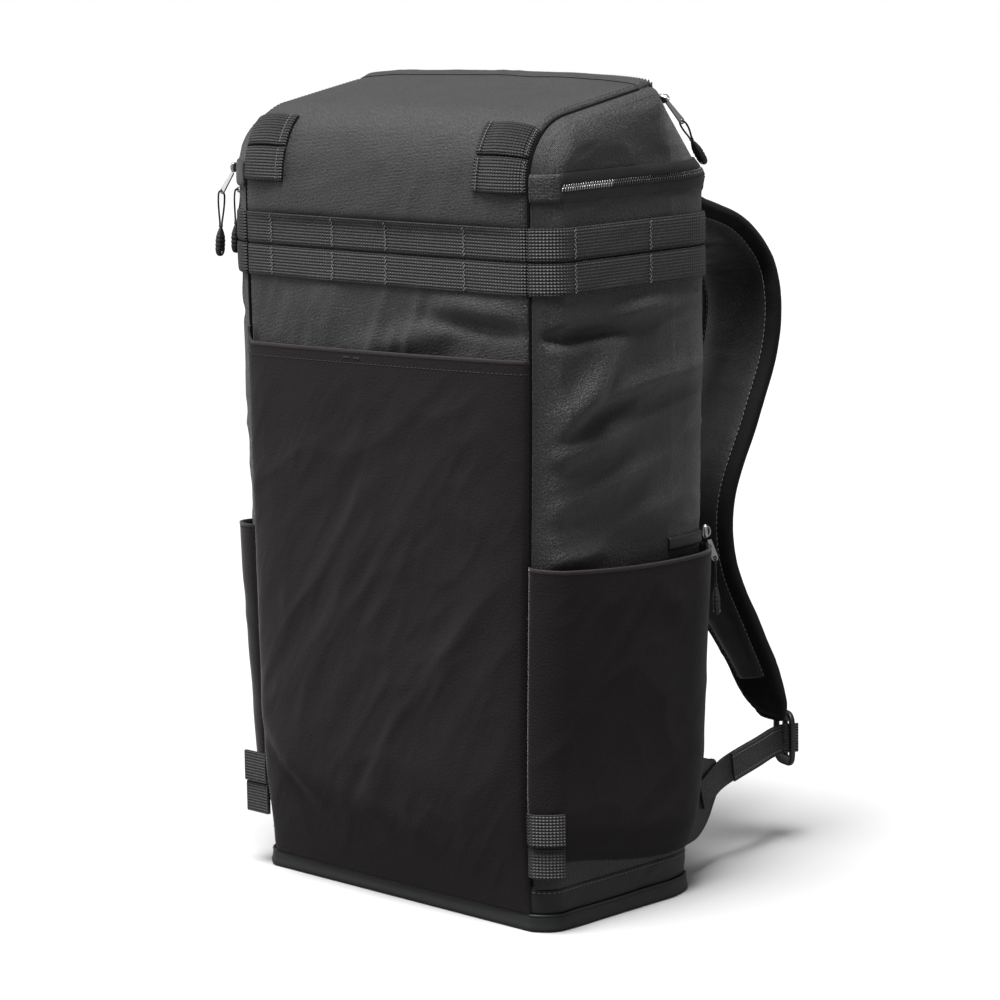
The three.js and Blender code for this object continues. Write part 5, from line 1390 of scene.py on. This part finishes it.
class WebbingOperator(bpy.types.Operator):
    """Make the webbing rows of the front and sides with their bar tacks"""
    bl_idname = "backpack.webbing"
    bl_label = "Webbing rows"

    columns = (-120.0, -49.0, 10.0, 93.0)
    side_columns = (-70.0, 17.0)
    fullness = 1.2

    def puff(self, place, columns, ends):
        """Fullness between sewn columns: (1 - (2 s - 1)^2)^0.4 over each bay."""
        marks = np.array(sorted([ends[0], *columns, ends[1]]))
        bay = np.clip(np.searchsorted(marks, place) - 1, 0, len(marks) - 2)
        share = (place - marks[bay]) / (marks[bay + 1] - marks[bay])
        return self.fullness * np.maximum(0, 1 - (2 * share - 1) ** 2) ** 0.4

    def front_lift(self, across, z, share):
        """A share of the band's thickness and the fullness between columns, none at the seams."""
        x = across * seam_half(z)
        return share * WEB_THICK + self.puff(x, self.columns, (-160, 160)) * crown_share(across)

    def side_lift(self, y, share):
        """The fullness between the side columns, none at the seams."""
        return self.puff(y, self.side_columns, (-100, 100)) * crown_share(2 * share - 1)

    def execute(self, context):
        """Each band is a grid along and across it, whose outer face is lifted off the panel."""
        for row, top in (("upper", WEB_TOP), ("lower", WEB_TOP - WEB_WIDTH - WEB_GAP)):
            s, round_ = edge_profile(13)
            a, s2 = np.meshgrid(np.linspace(-1, 1, 301), s, indexing="ij")
            z = top - WEB_WIDTH + s2 * WEB_WIDTH
            thick = self.front_lift(a, z, round_[None])
            sewn(over_front(a, z, SEAM_GAP + thick), over_front(a, z, SEAM_GAP),
                 f"front_band_{row}", "webbing", "webbing", f"front_webbing_{row}")
            self.tacks(f"front_tacks_{row}", top)
            for label, side in SIDES:
                share, s2 = np.meshgrid(FINE_SHARES, s, indexing="ij")
                z = top - WEB_WIDTH + s2 * WEB_WIDTH + WEB_RISE * share
                y = depth_at(share, z)
                lift = TRIM_GAP + round_[None] * WEB_THICK + self.side_lift(y, share)
                sewn(*over_sides(side, y, z, lift, TRIM_GAP),
                     f"side_band_{row}_{label}", "webbing", "webbing", f"side_webbing_{row}_{label}")
                self.side_tacks(f"side_tacks_{row}_{label}", side, top)
        return {"FINISHED"}

    def zigzag(self, low, high):
        """A zigzag line up a band: steps to both sides of its column, one for each pitch."""
        count = int((high - low) / ZIGZAG_PITCH)
        return np.linspace(low, high, count), ZIGZAG_REACH * (np.arange(count) % 2 * 2 - 1.0)

    def tacks(self, name, top):
        """Close stitches on a zigzag up the front bands at each column."""
        lines = []
        for x in self.columns:
            z, off = self.zigzag(top - WEB_WIDTH + TACK_INSET, top - TACK_INSET)
            across = (x + off) / seam_half(z)
            lift = SEAM_GAP + self.front_lift(across, z, 1.0) + TACK_LIFT
            lines.append((over_front(across, z, lift), AHEAD))
        stitched(lines, "web tack", name, "thread", "webbing")

    def side_tacks(self, name, side, top):
        """The same on a side, where the bands rise towards the back."""
        lines = []
        for column in self.side_columns:
            z, off = self.zigzag(top - WEB_WIDTH + TACK_INSET, top - TACK_INSET)
            y = column + off
            share = (y + front_at(z)) / (front_at(z) + back_at(z))
            z = z + WEB_RISE * share
            lift = TRIM_GAP + WEB_THICK + self.side_lift(y, share) + TACK_LIFT
            lines.append((over_side(side, y, z, lift), np.array([side * 1.0, 0, 0])))
        stitched(lines, "web tack", name, "thread", "webbing")


class LoopsOperator(bpy.types.Operator):
    """Make the loops on the turn of the top and beside the base"""
    bl_idname = "backpack.loops"
    bl_label = "Loops"

    def execute(self, context):
        total = line_length(FRONT_LINE)
        turn = total - line_length(FRONT_LINE[279:])
        for row, start in (("upper", LOOP_ALONG + WEB_WIDTH + WEB_GAP), ("lower", LOOP_ALONG)):
            for label, side in SIDES:
                self.top_loop(row, label, side, turn + start)
        self.low_loops()
        return {"FINISHED"}

    def top_loop(self, row, label, side, start):
        """A band over the turn that arches by sin(pi s), with a folded hem at its inner end."""
        s, round_ = edge_profile(13)
        t = np.linspace(0, 1, 61)
        t2, s2 = np.meshgrid(t, s, indexing="ij")
        run = start + s2 * WEB_WIDTH
        point, _ = along_line(FRONT_LINE, run)
        across = side * (1 - t2 * LOOP_LENGTH / seam_half(point[..., 1]))
        hem = 1.2 * smooth((t2 - 0.86) / 0.03) * smooth((1.001 - t2) / 0.02)
        arch = LOOP_LIFT * np.sin(math.pi * np.clip(t2 / 0.9, 0, 1)) ** 0.8
        base = over_front(across, run, SEAM_GAP + arch)
        thick = round_[None] * LOOP_THICK + hem
        sewn(over_front(across, run, SEAM_GAP + arch + thick), base,
             f"top_band_{label}_{row}", "webbing", "webbing", f"top_loop_{label}_{row}")
        at = np.linspace(start + TACK_INSET, start + WEB_WIDTH - TACK_INSET, 24)
        point, normal = along_line(FRONT_LINE, at)
        lines = []
        for place in (0.885, 0.03):
            off = side * (1 - place * LOOP_LENGTH / seam_half(point[:, 1]))
            arch = LOOP_LIFT * math.sin(math.pi * min(place / 0.9, 1)) ** 0.8
            line = over_front(off, at, SEAM_GAP + LOOP_THICK + arch + 1.25 * (place > 0.5) + 0.25)
            lines.append((line, np.column_stack([np.zeros(len(at)), normal])))
        stitched(lines, "loop tack", f"top_tacks_{label}_{row}", "thread", "webbing")

    def folded(self, name, run, face, low, node):
        """A band folded on itself: out along one layer, round the fold and back."""
        reach = LOW_LAYER / 2
        turn = (2 * reach + LOW_SLIT) / 2
        run = catmull(run, np.linspace(0, 1, 28))
        end = run[-1]
        ahead = unit(end - run[-2])
        middle = end + face * (reach + turn)
        a = np.linspace(0, math.pi, 10)[1:-1, None]
        bend = middle - face * turn * np.cos(a) + ahead * turn * np.sin(a)
        line = np.concatenate([run + face * reach, bend, (run + face * (reach + 2 * turn))[::-1]])
        along = tangents(line)
        through = unit(np.cross(along, UP))
        centre = line + UP * (low + WEB_WIDTH / 2)
        form = Form()
        form.bar(centre, UP, through, WEB_WIDTH, LOW_LAYER, superellipse(28, 7))
        form.piece(name, "webbing", "webbing", node)

    def low_loops(self):
        """Paths from the front seams: back round the right pocket's edge, and out on the left."""
        depth = FRONT_DEPTH + back_at(BACK_TOP)
        for row, low in (("upper", LOW_TOP - WEB_WIDTH), ("lower", LOW_TOP - 2 * WEB_WIDTH - WEB_GAP)):
            levels = np.linspace(low, low + WEB_WIDTH, 5)
            shares = np.array([*LOW_BEND, LOW_LAID]) / depth
            front = front_at(low + WEB_WIDTH)
            path = [[seam_half(low + WEB_WIDTH) + TRIM_GAP, -front - TRIM_GAP - POCKET_CLOTH, 0]]
            for share in shares:
                lift = side_pocket_lift(share, levels) + LOW_CLEAR + POCKET_CLOTH
                over = over_side(1, depth_at(share, levels), levels, lift)
                widest = over[np.argmax(over[:, 0])]
                path.append([widest[0], widest[1], 0])
            back = unit([1, -0.4, 0])
            self.folded(f"low_band_right_{row}", np.array(path), back, low, f"low_loop_right_{row}")
            out = np.linspace(0, LOW_LENGTH, 4)
            x = -seam_half(low) - SEAM_GAP - out
            line = np.stack([x, np.full(4, -front - LOW_OFF), np.zeros(4)], -1)
            self.folded(f"low_band_left_{row}", line, AHEAD, low, f"low_loop_left_{row}")


class ZippersOperator(bpy.types.Operator):
    """Make the side and top zippers: tape, coil and the plain patches"""
    bl_idname = "backpack.zippers"
    bl_label = "Zippers"

    def execute(self, context):
        for label, side in SIDES:
            self.side_zip(label, side)
        self.top_zip()
        return {"FINISHED"}

    def coil(self, name, line, up, painted_highlight):
        """Two rows of coil turns, each a drop leaning across the edge; a front share is bright metal as a
        painted highlight.
        """
        pitch = bpy.context.scene.backpack_sizes.tooth_pitch * 1000
        at = resample(line, pitch)
        middle, way, out = pick(line, at), pick(tangents(line), at), unit(pick(up, at))
        broad = unit(np.cross(out, way))
        count = len(at)
        front = int(count * painted_highlight)
        for part, finish in ((slice(0, front), "painted_highlight"), (slice(front, count), "tooth")):
            if len(middle[part]) < 2:
                continue
            form = Form()
            for side in (-1, 1):
                shift = side * 1.15 * broad[part] + (0.25 * side * pitch) * way[part]
                lean = broad[part] + 0.25 * way[part]
                form.beads(middle[part] + shift, lean, out[part], *TOOTH_SIZE)
            form.piece(f"{name}_{finish}", finish, "webbing")

    def side_zip(self, label, side):
        """Tape: a grid along and across, 1 - (off / half)^14 thick, with a rib by the coil."""
        depth = FRONT_DEPTH + back_at(BACK_TOP)
        start = PATCH_LENGTH / depth
        share = np.concatenate([np.linspace(start, 0.8, 110), np.linspace(0.8, 1, 30)[1:]])
        off = np.array([-11, -10.6, -8, -5, -3.2, -2.2, -1.2, 0, 1.2, 2.2, 3.2, 5, 8, 10.6, 11.0])
        s2, o2 = np.meshgrid(share, off, indexing="ij")
        z = tape_height(s2, o2)
        rib = 0.8 * bump(np.abs(o2) - 4.6, 1.1)
        lift = TRIM_GAP + ZIP_THICK * np.sqrt(np.maximum(0.05, 1 - (np.abs(o2) / 11.05) ** 14)) + rib
        y = depth_at(s2, z)
        sewn(*over_sides(side, y, z, lift, TRIM_GAP), f"side_tape_{label}", "tape", "webbing",
             f"side_zip_{label}")
        z0 = tape_height(share, np.zeros_like(share))
        y0 = depth_at(share, z0)
        line = over_side(side, y0, z0, TRIM_GAP + ZIP_THICK + 0.75)
        up = over_side(side, y0, z0, TRIM_GAP + ZIP_THICK + 2.0) - line
        self.coil(f"side_coil_{label}", line, up, HIGHLIGHT_SHARE)
        share = np.linspace(0.002, start - 0.003, 30)
        part, round_ = edge_profile(13)
        s2, p2 = np.meshgrid(share, part, indexing="ij")
        z = ZIP_HEIGHT + ZIP_RISE * s2 + (p2 - 0.5) * PATCH_HEIGHT
        y = depth_at(s2, z)
        faces = over_sides(side, y, z, 2 * SEAM_GAP + WEB_THICK * round_[None], 2 * SEAM_GAP)
        sewn(*faces, f"patch_cloth_{label}", "cloth", "cloth", f"zip_patch_{label}")

    def top_zip(self):
        """The tape lies over the top edge: runs before it on the top, past it on the slant."""
        total = line_length(FRONT_LINE)
        a = np.sin(np.linspace(-math.pi / 2, math.pi / 2, 161))
        before = np.array([-10, -9.6, -7, -5, -3.2, -1.6, -0.4])
        after = np.array([0.6, 2, 3.6, 5.4, 7.4, 8.9, 9.3])
        rise = smooth((before + 10) / 9)
        gap = TRIM_GAP * 0.5 + TRIM_GAP * 0.5 * rise
        front = np.meshgrid(a, total + before, indexing="ij")
        slant = np.meshgrid(a, after, indexing="ij")
        cover = lambda share: np.concatenate([
            over_front(*front, (gap + share * (ZIP_THICK * rise + 0.2))[None]),
            over_slant(*slant, TRIM_GAP + share * ZIP_THICK),
        ], 1)
        sewn(cover(1.0), cover(0.0), "top_tape", "cloth", "webbing", "top_zip")
        at = np.linspace(-1, 1, 200)
        line = over_slant(at, np.full(200, 4.4), TRIM_GAP + ZIP_THICK + 0.7)
        up = np.broadcast_to(SLANT_OFF, line.shape)
        self.coil("top_coil", line, up, 0.0)


STRAP_ROWS = np.array([
    (0.54, 0.4195, 0.851, 1, 0.7, 18), (0.55, 0.54, 0.849, 1, 1, 18), (0.56, 0.67, 0.833, 1, 1, 18),
    (0.59, 0.845, 0.811, 1, 1, 14), (0.62, 0.965, 0.769, 1, 1, 7), (0.643, 1, 0.722, 1, 1, 0),
    (0.638, 0.984, 0.658, 1, 1, 0), (0.628, 0.892, 0.572, 0.97, 1, 0), (0.618, 0.765, 0.466, 0.94, 1, 0),
    (0.625, 0.775, 0.39, 0.9, 1, 0), (0.689, 0.885, 0.297, 0.79, 1, 0), (0.726, 0.958, 0.241, 0.73, 1, 0),
    (0.766, 1.004, 0.193, 0.6, 0.85, 0), (0.75, 1.05, 0.166, 0.36, 0.45, 0),
])


def strap_stations(t):
    """Middle, across and through ways, width and thickness of a right strap at t from 0 to 1."""
    spine = STRAP_ROWS[:, :3] * [BASE_HALF, STRAP_REACH, BODY_HEIGHT]
    middle = catmull(spine, t)
    step = 1e-4
    along = unit(catmull(spine, np.minimum(t + step, 1)) - catmull(spine, np.maximum(t - step, 0)))
    wide, thick, roll = catmull(STRAP_ROWS[:, 3:], t, 0.5).T
    across = unit([1, 0, 0] - along[:, :1] * along)
    turn = np.radians(-roll)[:, None]
    across = across * np.cos(turn) + np.cross(along, across) * np.sin(turn)
    grown = STRAP_SPREAD * np.sin(math.pi * np.clip((t - 0.04) / 0.8, 0, 1))
    middle = middle - across * (grown / 2)[:, None]
    return middle, across, np.cross(along, across), wide * STRAP_WIDTH + grown, thick * STRAP_THICK


class StrapsOperator(bpy.types.Operator):
    """Make both shoulder straps: pad, lining and edge stitches"""
    bl_idname = "backpack.straps"
    bl_label = "Shoulder straps"

    def execute(self, context):
        for label, side in SIDES:
            self.pad(label, side)
            self.lining(label, side)
        return {"FINISHED"}

    def pad(self, label, side):
        """A soft section carried along the strap, its outer face quilted by gentle waves."""
        t = np.linspace(0, 1, 190)
        middle, across, through, width, thick = strap_stations(t)
        section = superellipse(48, 3.4)
        u, v = section[:, 0][None, :, None], section[:, 1][None, :, None]
        ring = (middle[:, None] + u * (across * width[:, None] / 2)[:, None]
                + v * (through * thick[:, None] / 2)[:, None])
        run = t[:, None] * STRAP_RUN
        place = section[:, 0][None] * 35
        place, run = np.broadcast_arrays(place, run)
        soft = 0.8 * crumple(place, run, 16, 0, 3, 81 + side) * np.abs(section[:, 1])[None]
        ring = ring + (soft * np.sign(section[:, 1])[None])[..., None] * through[:, None]
        form = Form(side)
        form.tube(ring)
        piece = form.piece(f"strap_cushion_{label}", "padding", "padding", f"strap_pad_{label}")

    def lining(self, label, side):
        """The grey inner face: a crowned strip with cross wrinkles where the strap bends."""
        t = np.linspace(1.2 / 30, 26 / 30, 170)
        middle, across, through, width, thick = strap_stations(t)
        half = (width - 2 * FACE_INSET) / 2 + FACE_SPREAD
        u = np.sin(np.linspace(-math.pi / 2, math.pi / 2, 61))
        shape = (1 - np.abs(u) ** 4)[None]
        run = t[:, None] * STRAP_RUN
        place = u[None] * half[:, None]
        bend = 0.35 + bump(t[:, None] - 0.19, 0.1) * 1.3 + 0.5 * bump(t[:, None] - 0.62, 0.1)
        cross = crumple(place, run, 9, 4, 6, 91 + side) + 0.6 * crumple(place, run, 18, -12, 4, 95)
        lift = 0.2 + shape * (2.2 + 0.75 * bend * cross)
        base = middle[:, None] + through[:, None] * (thick / 2)[:, None, None]
        skin = base + across[:, None] * place[..., None] + through[:, None] * lift[..., None]
        inner = base + across[:, None] * place[..., None] + through[:, None] * (lift * 0 - 0.8)[..., None]
        piece = sewn(skin, inner, f"strap_lining_{label}", "lining", "mesh", f"strap_face_{label}",
                     side=side)
        middle = base[:, 0] + through * EDGE_LIFT
        lines = [(middle + across * (way * (half + EDGE_SEAM))[:, None], through) for way in (-1, 1)]
        stitched(lines, "strap", f"strap_stitches_{label}", "thread", "mesh", side=side)


BUCKLE_TURN = math.radians(20.5)
BUCKLE_ALONG = np.array([math.cos(BUCKLE_TURN), -math.sin(BUCKLE_TURN), 0])
BUCKLE_OUT = np.array([math.sin(BUCKLE_TURN), math.cos(BUCKLE_TURN), 0])


def buckle_middle():
    """Where the buckle stands: in front of the pad's last stations, shifted and dropped."""
    t = np.linspace(0, 1, 31)
    middle, across, through, width, thick = strap_stations(t)
    quarter = np.array([[0.86, -1], [1, -0.35], [1, 0.35], [0.86, 1]])
    soft = np.concatenate([quarter, -quarter])
    last = slice(-3, None)
    reach = (middle[last, None] + soft[None, :, :1] * (across * width[:, None] / 2)[last, None]
             + soft[None, :, 1:] * (through * thick[:, None] / 2)[last, None]) @ BUCKLE_OUT
    end = middle[-1]
    return (end + BUCKLE_OUT * (reach.max() - end @ BUCKLE_OUT + BUCKLE_THICK / 2 + BUCKLE_CLEAR)
            + BUCKLE_ALONG * BUCKLE_ASIDE - UP * BUCKLE_DROP)


class BucklesOperator(bpy.types.Operator):
    """Make both ladder buckles"""
    bl_idname = "backpack.buckles"
    bl_label = "Buckles"

    def execute(self, context):
        """A rounded frame: bars of a soft section between rounded corners, bowed by x^2."""
        for label, side in SIDES:
            centre = buckle_middle()
            form = Form(side)
            x, y = BUCKLE_WIDTH / 2, BUCKLE_LENGTH / 2
            place = lambda u, v: (
                centre + u[:, None] * BUCKLE_ALONG + v[:, None] * UP
                + ((u / x) ** 2 * -1.2 + 0.6)[:, None] * BUCKLE_OUT
            )
            turn = np.linspace(0, 2 * math.pi, 97)[:-1]
            c, s = np.cos(turn), np.sin(turn)
            u = np.sign(c) * np.abs(c) ** 0.4 * (x - BUCKLE_RIM / 2)
            v = np.sign(s) * np.abs(s) ** 0.32 * (y - BUCKLE_RIM)
            line = place(u, v)
            along = unit(np.roll(line, -1, axis=0) - np.roll(line, 1, axis=0))
            across = unit(np.cross(along, BUCKLE_OUT))
            tall = lerp(BUCKLE_RIM, BUCKLE_END, np.abs(s) ** 6)
            section = superellipse(20, 4)
            rings = (line[:, None] + section[None, :, :1] * (across * tall[:, None] / 2)[:, None]
                     + section[None, :, 1:] * BUCKLE_OUT * BUCKLE_THICK / 2)
            form.tube(rings, closed=True)
            bar = place(np.zeros(31), np.linspace(BUCKLE_RIM - y, y - BUCKLE_RIM, 31))
            form.bar(bar, BUCKLE_ALONG, BUCKLE_OUT, BUCKLE_BAR, BUCKLE_THICK * 0.9, superellipse(20, 3.5))
            form.piece(f"buckle_frame_{label}", "moulded", "plastic", f"buckle_{label}")
        return {"FINISHED"}


WING_ALONG = np.array([-math.sin(WING_TURN), math.cos(WING_TURN), 0])
WING_OUT = np.array([math.cos(WING_TURN), math.sin(WING_TURN), 0])
WING_FOOT = np.array([seam_half(WING_LOW) - WING_WALL - SEAM_GAP, BACK_DEPTH, 0])
WING_EDGE = np.array([
    (0.45, 0.03), (0.68, 0.15), (0.86, 0.35), (1, 0.56), (0.92, 0.85), (0.74, 0.91), (0.56, 0.96),
])


def web_spine(t):
    """Middle line of the lower webbing, from the wing through the buckle's slot."""
    foot = WING_FOOT + WING_OUT * (WING_WALL + 2 * SEAM_GAP + WEB_THICK / 2)
    on_wing = lambda share, z: foot + WING_ALONG * share * WING_REACH + UP * z
    slot = buckle_middle() + BUCKLE_ALONG * (BUCKLE_BAR + BUCKLE_SLOT) / 2
    high = lambda share: lerp(66.0, slot[2], math.sin(share * math.pi / 2))
    between = lerp(on_wing(1, 0), slot, 0.5) * [1, 1, 0] + UP * high(0.68)
    knots = [
        on_wing(0.5, high(0)), on_wing(0.75, high(0.17)), on_wing(1, high(0.34)), between,
        slot - BUCKLE_OUT * 2 * BUCKLE_THICK, slot + BUCKLE_OUT * 10,
    ]
    return catmull(knots, t)


class LowerWebbingOperator(bpy.types.Operator):
    """Make the wings at the back corners and the webbing from them to the buckles"""
    bl_idname = "backpack.lower_webbing"
    bl_label = "Lower webbing"

    def execute(self, context):
        for label, side in SIDES:
            self.wing(label, side)
            self.band(f"lower_band_{label}", f"lower_webbing_{label}", side, 0, 1, 0.0)
            self.band(f"tail_band_{label}", f"webbing_tail_{label}", side, 0.46, 0.8,
                      WEB_THICK + 2 * SEAM_GAP)
        return {"FINISHED"}

    def wing(self, label, side):
        """A flap between its seam and its curved edge, thinning to a bound rim."""
        t = np.linspace(0, 1, 61)
        z = lerp(WING_LOW, WING_TOP, t)
        seam = (back_at(z) - BACK_DEPTH + WING_CLEAR) / math.cos(WING_TURN)
        curve = WING_EDGE * [WING_REACH, WING_TOP - WING_LOW] + [0, WING_LOW]
        edge = np.vstack([[seam[0], WING_LOW], curve, [seam[-1], WING_TOP]])
        rim = catmull(edge, t)
        s = 1 - (1 - np.linspace(0, 1, 31)) ** 1.5
        flat = lerp(np.stack([seam, z], -1)[:, None], rim[:, None], s[None, :, None])
        thick = (WING_WALL / 2) * np.sqrt(np.maximum(0.04, 1 - (2 * np.minimum(s, 1) - 1).clip(0) ** 8))
        bound = 0.5 * bump(s - 0.95, 0.04)
        middle = (WING_FOOT * [1, 1, 0] + flat[..., :1] * WING_ALONG + flat[..., 1:] * UP
                  + WING_OUT * WING_WALL / 2)
        half = (thick + bound)[None, :, None] * WING_OUT
        sewn(middle + half, middle - half, f"wing_cloth_{label}", "coated", "coated",
             f"webbing_anchor_{label}", side=side)

    def band(self, name, node, side, start, end, lift):
        """A flat section along a part of the spine, lifted off it for the folded tail."""
        t = np.linspace(start, end, 90)
        line = web_spine(t)
        along = tangents(line)
        across = unit(UP - along[:, 2:] * along)
        through = np.cross(along, across)
        line = line + through * lift
        form = Form(side)
        form.bar(line, across, through, WEB_WIDTH, WEB_THICK, superellipse(32, 8))
        form.piece(name, "webbing", "webbing", node)
        if lift:
            face = line + through * (WEB_THICK / 2 + 0.05)
            lines = [(face + across * off, through) for off in (-TAIL_SEAM, TAIL_SEAM)]
            stitched(lines, "tail", f"{name}_stitches", "thread", "webbing", side=side)


class TabOperator(bpy.types.Operator):
    """Make the folded tab over the right pocket's back corner"""
    bl_idname = "backpack.tab"
    bl_label = "Pocket tab"

    def execute(self, context):
        """A grid over the corner, thick by the root of 1 - |2 s - 1|^5 up its height."""
        share, s = np.meshgrid(np.linspace(0.72, 0.95, 40), np.linspace(0, 1, 13), indexing="ij")
        z = side_hem(share) + TAB_LOW + TAB_HEIGHT * s
        y = depth_at(share, z)
        puff = 2.2 * np.sqrt(np.maximum(0, 1 - np.abs(2 * s - 1) ** 5)) + 0.5
        sewn(*over_sides(1, y, z, SEAM_GAP + puff, SEAM_GAP),
             "tab_cloth", "coated", "coated", "pocket_tab_right")
        return {"FINISHED"}


PIECES = (
    StageOperator, PullsOperator, BaseOperator, FrontOperator, SidesOperator, BackOperator,
    PocketsOperator, WebbingOperator, LoopsOperator, ZippersOperator, StrapsOperator,
    BucklesOperator, LowerWebbingOperator, TabOperator,
)


class BackpackPanel(bpy.types.Panel):
    """Lists the bag's pieces and settings in the 3D view's sidebar"""
    bl_idname = "VIEW3D_PT_backpack"
    bl_label = "Backpack"
    bl_space_type = "VIEW_3D"
    bl_region_type = "UI"
    bl_category = "Backpack"

    def draw(self, context):
        for piece in PIECES:
            self.layout.operator(piece.bl_idname)
        scene = context.scene
        for group in (scene.backpack_colours, scene.backpack_sizes, scene.backpack_stage):
            box = self.layout.box()
            for key in group.__annotations__:
                box.prop(group, key)


GROUPS = (BackpackColours, BackpackSizes, BackpackStage)


def register():
    for group in (*GROUPS, *PIECES, BackpackPanel):
        bpy.utils.register_class(group)
    bpy.types.Scene.backpack_colours = bpy.props.PointerProperty(type=BackpackColours)
    bpy.types.Scene.backpack_sizes = bpy.props.PointerProperty(type=BackpackSizes)
    bpy.types.Scene.backpack_stage = bpy.props.PointerProperty(type=BackpackStage)


def unregister():
    del bpy.types.Scene.backpack_colours
    del bpy.types.Scene.backpack_sizes
    del bpy.types.Scene.backpack_stage
    for group in reversed((*GROUPS, *PIECES, BackpackPanel)):
        bpy.utils.unregister_class(group)


def main():
    """Register the add-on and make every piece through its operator."""
    register()
    for piece in PIECES:
        family, name = piece.bl_idname.split(".")
        getattr(getattr(bpy.ops, family), name)()


if __name__ == "__main__":
    main()
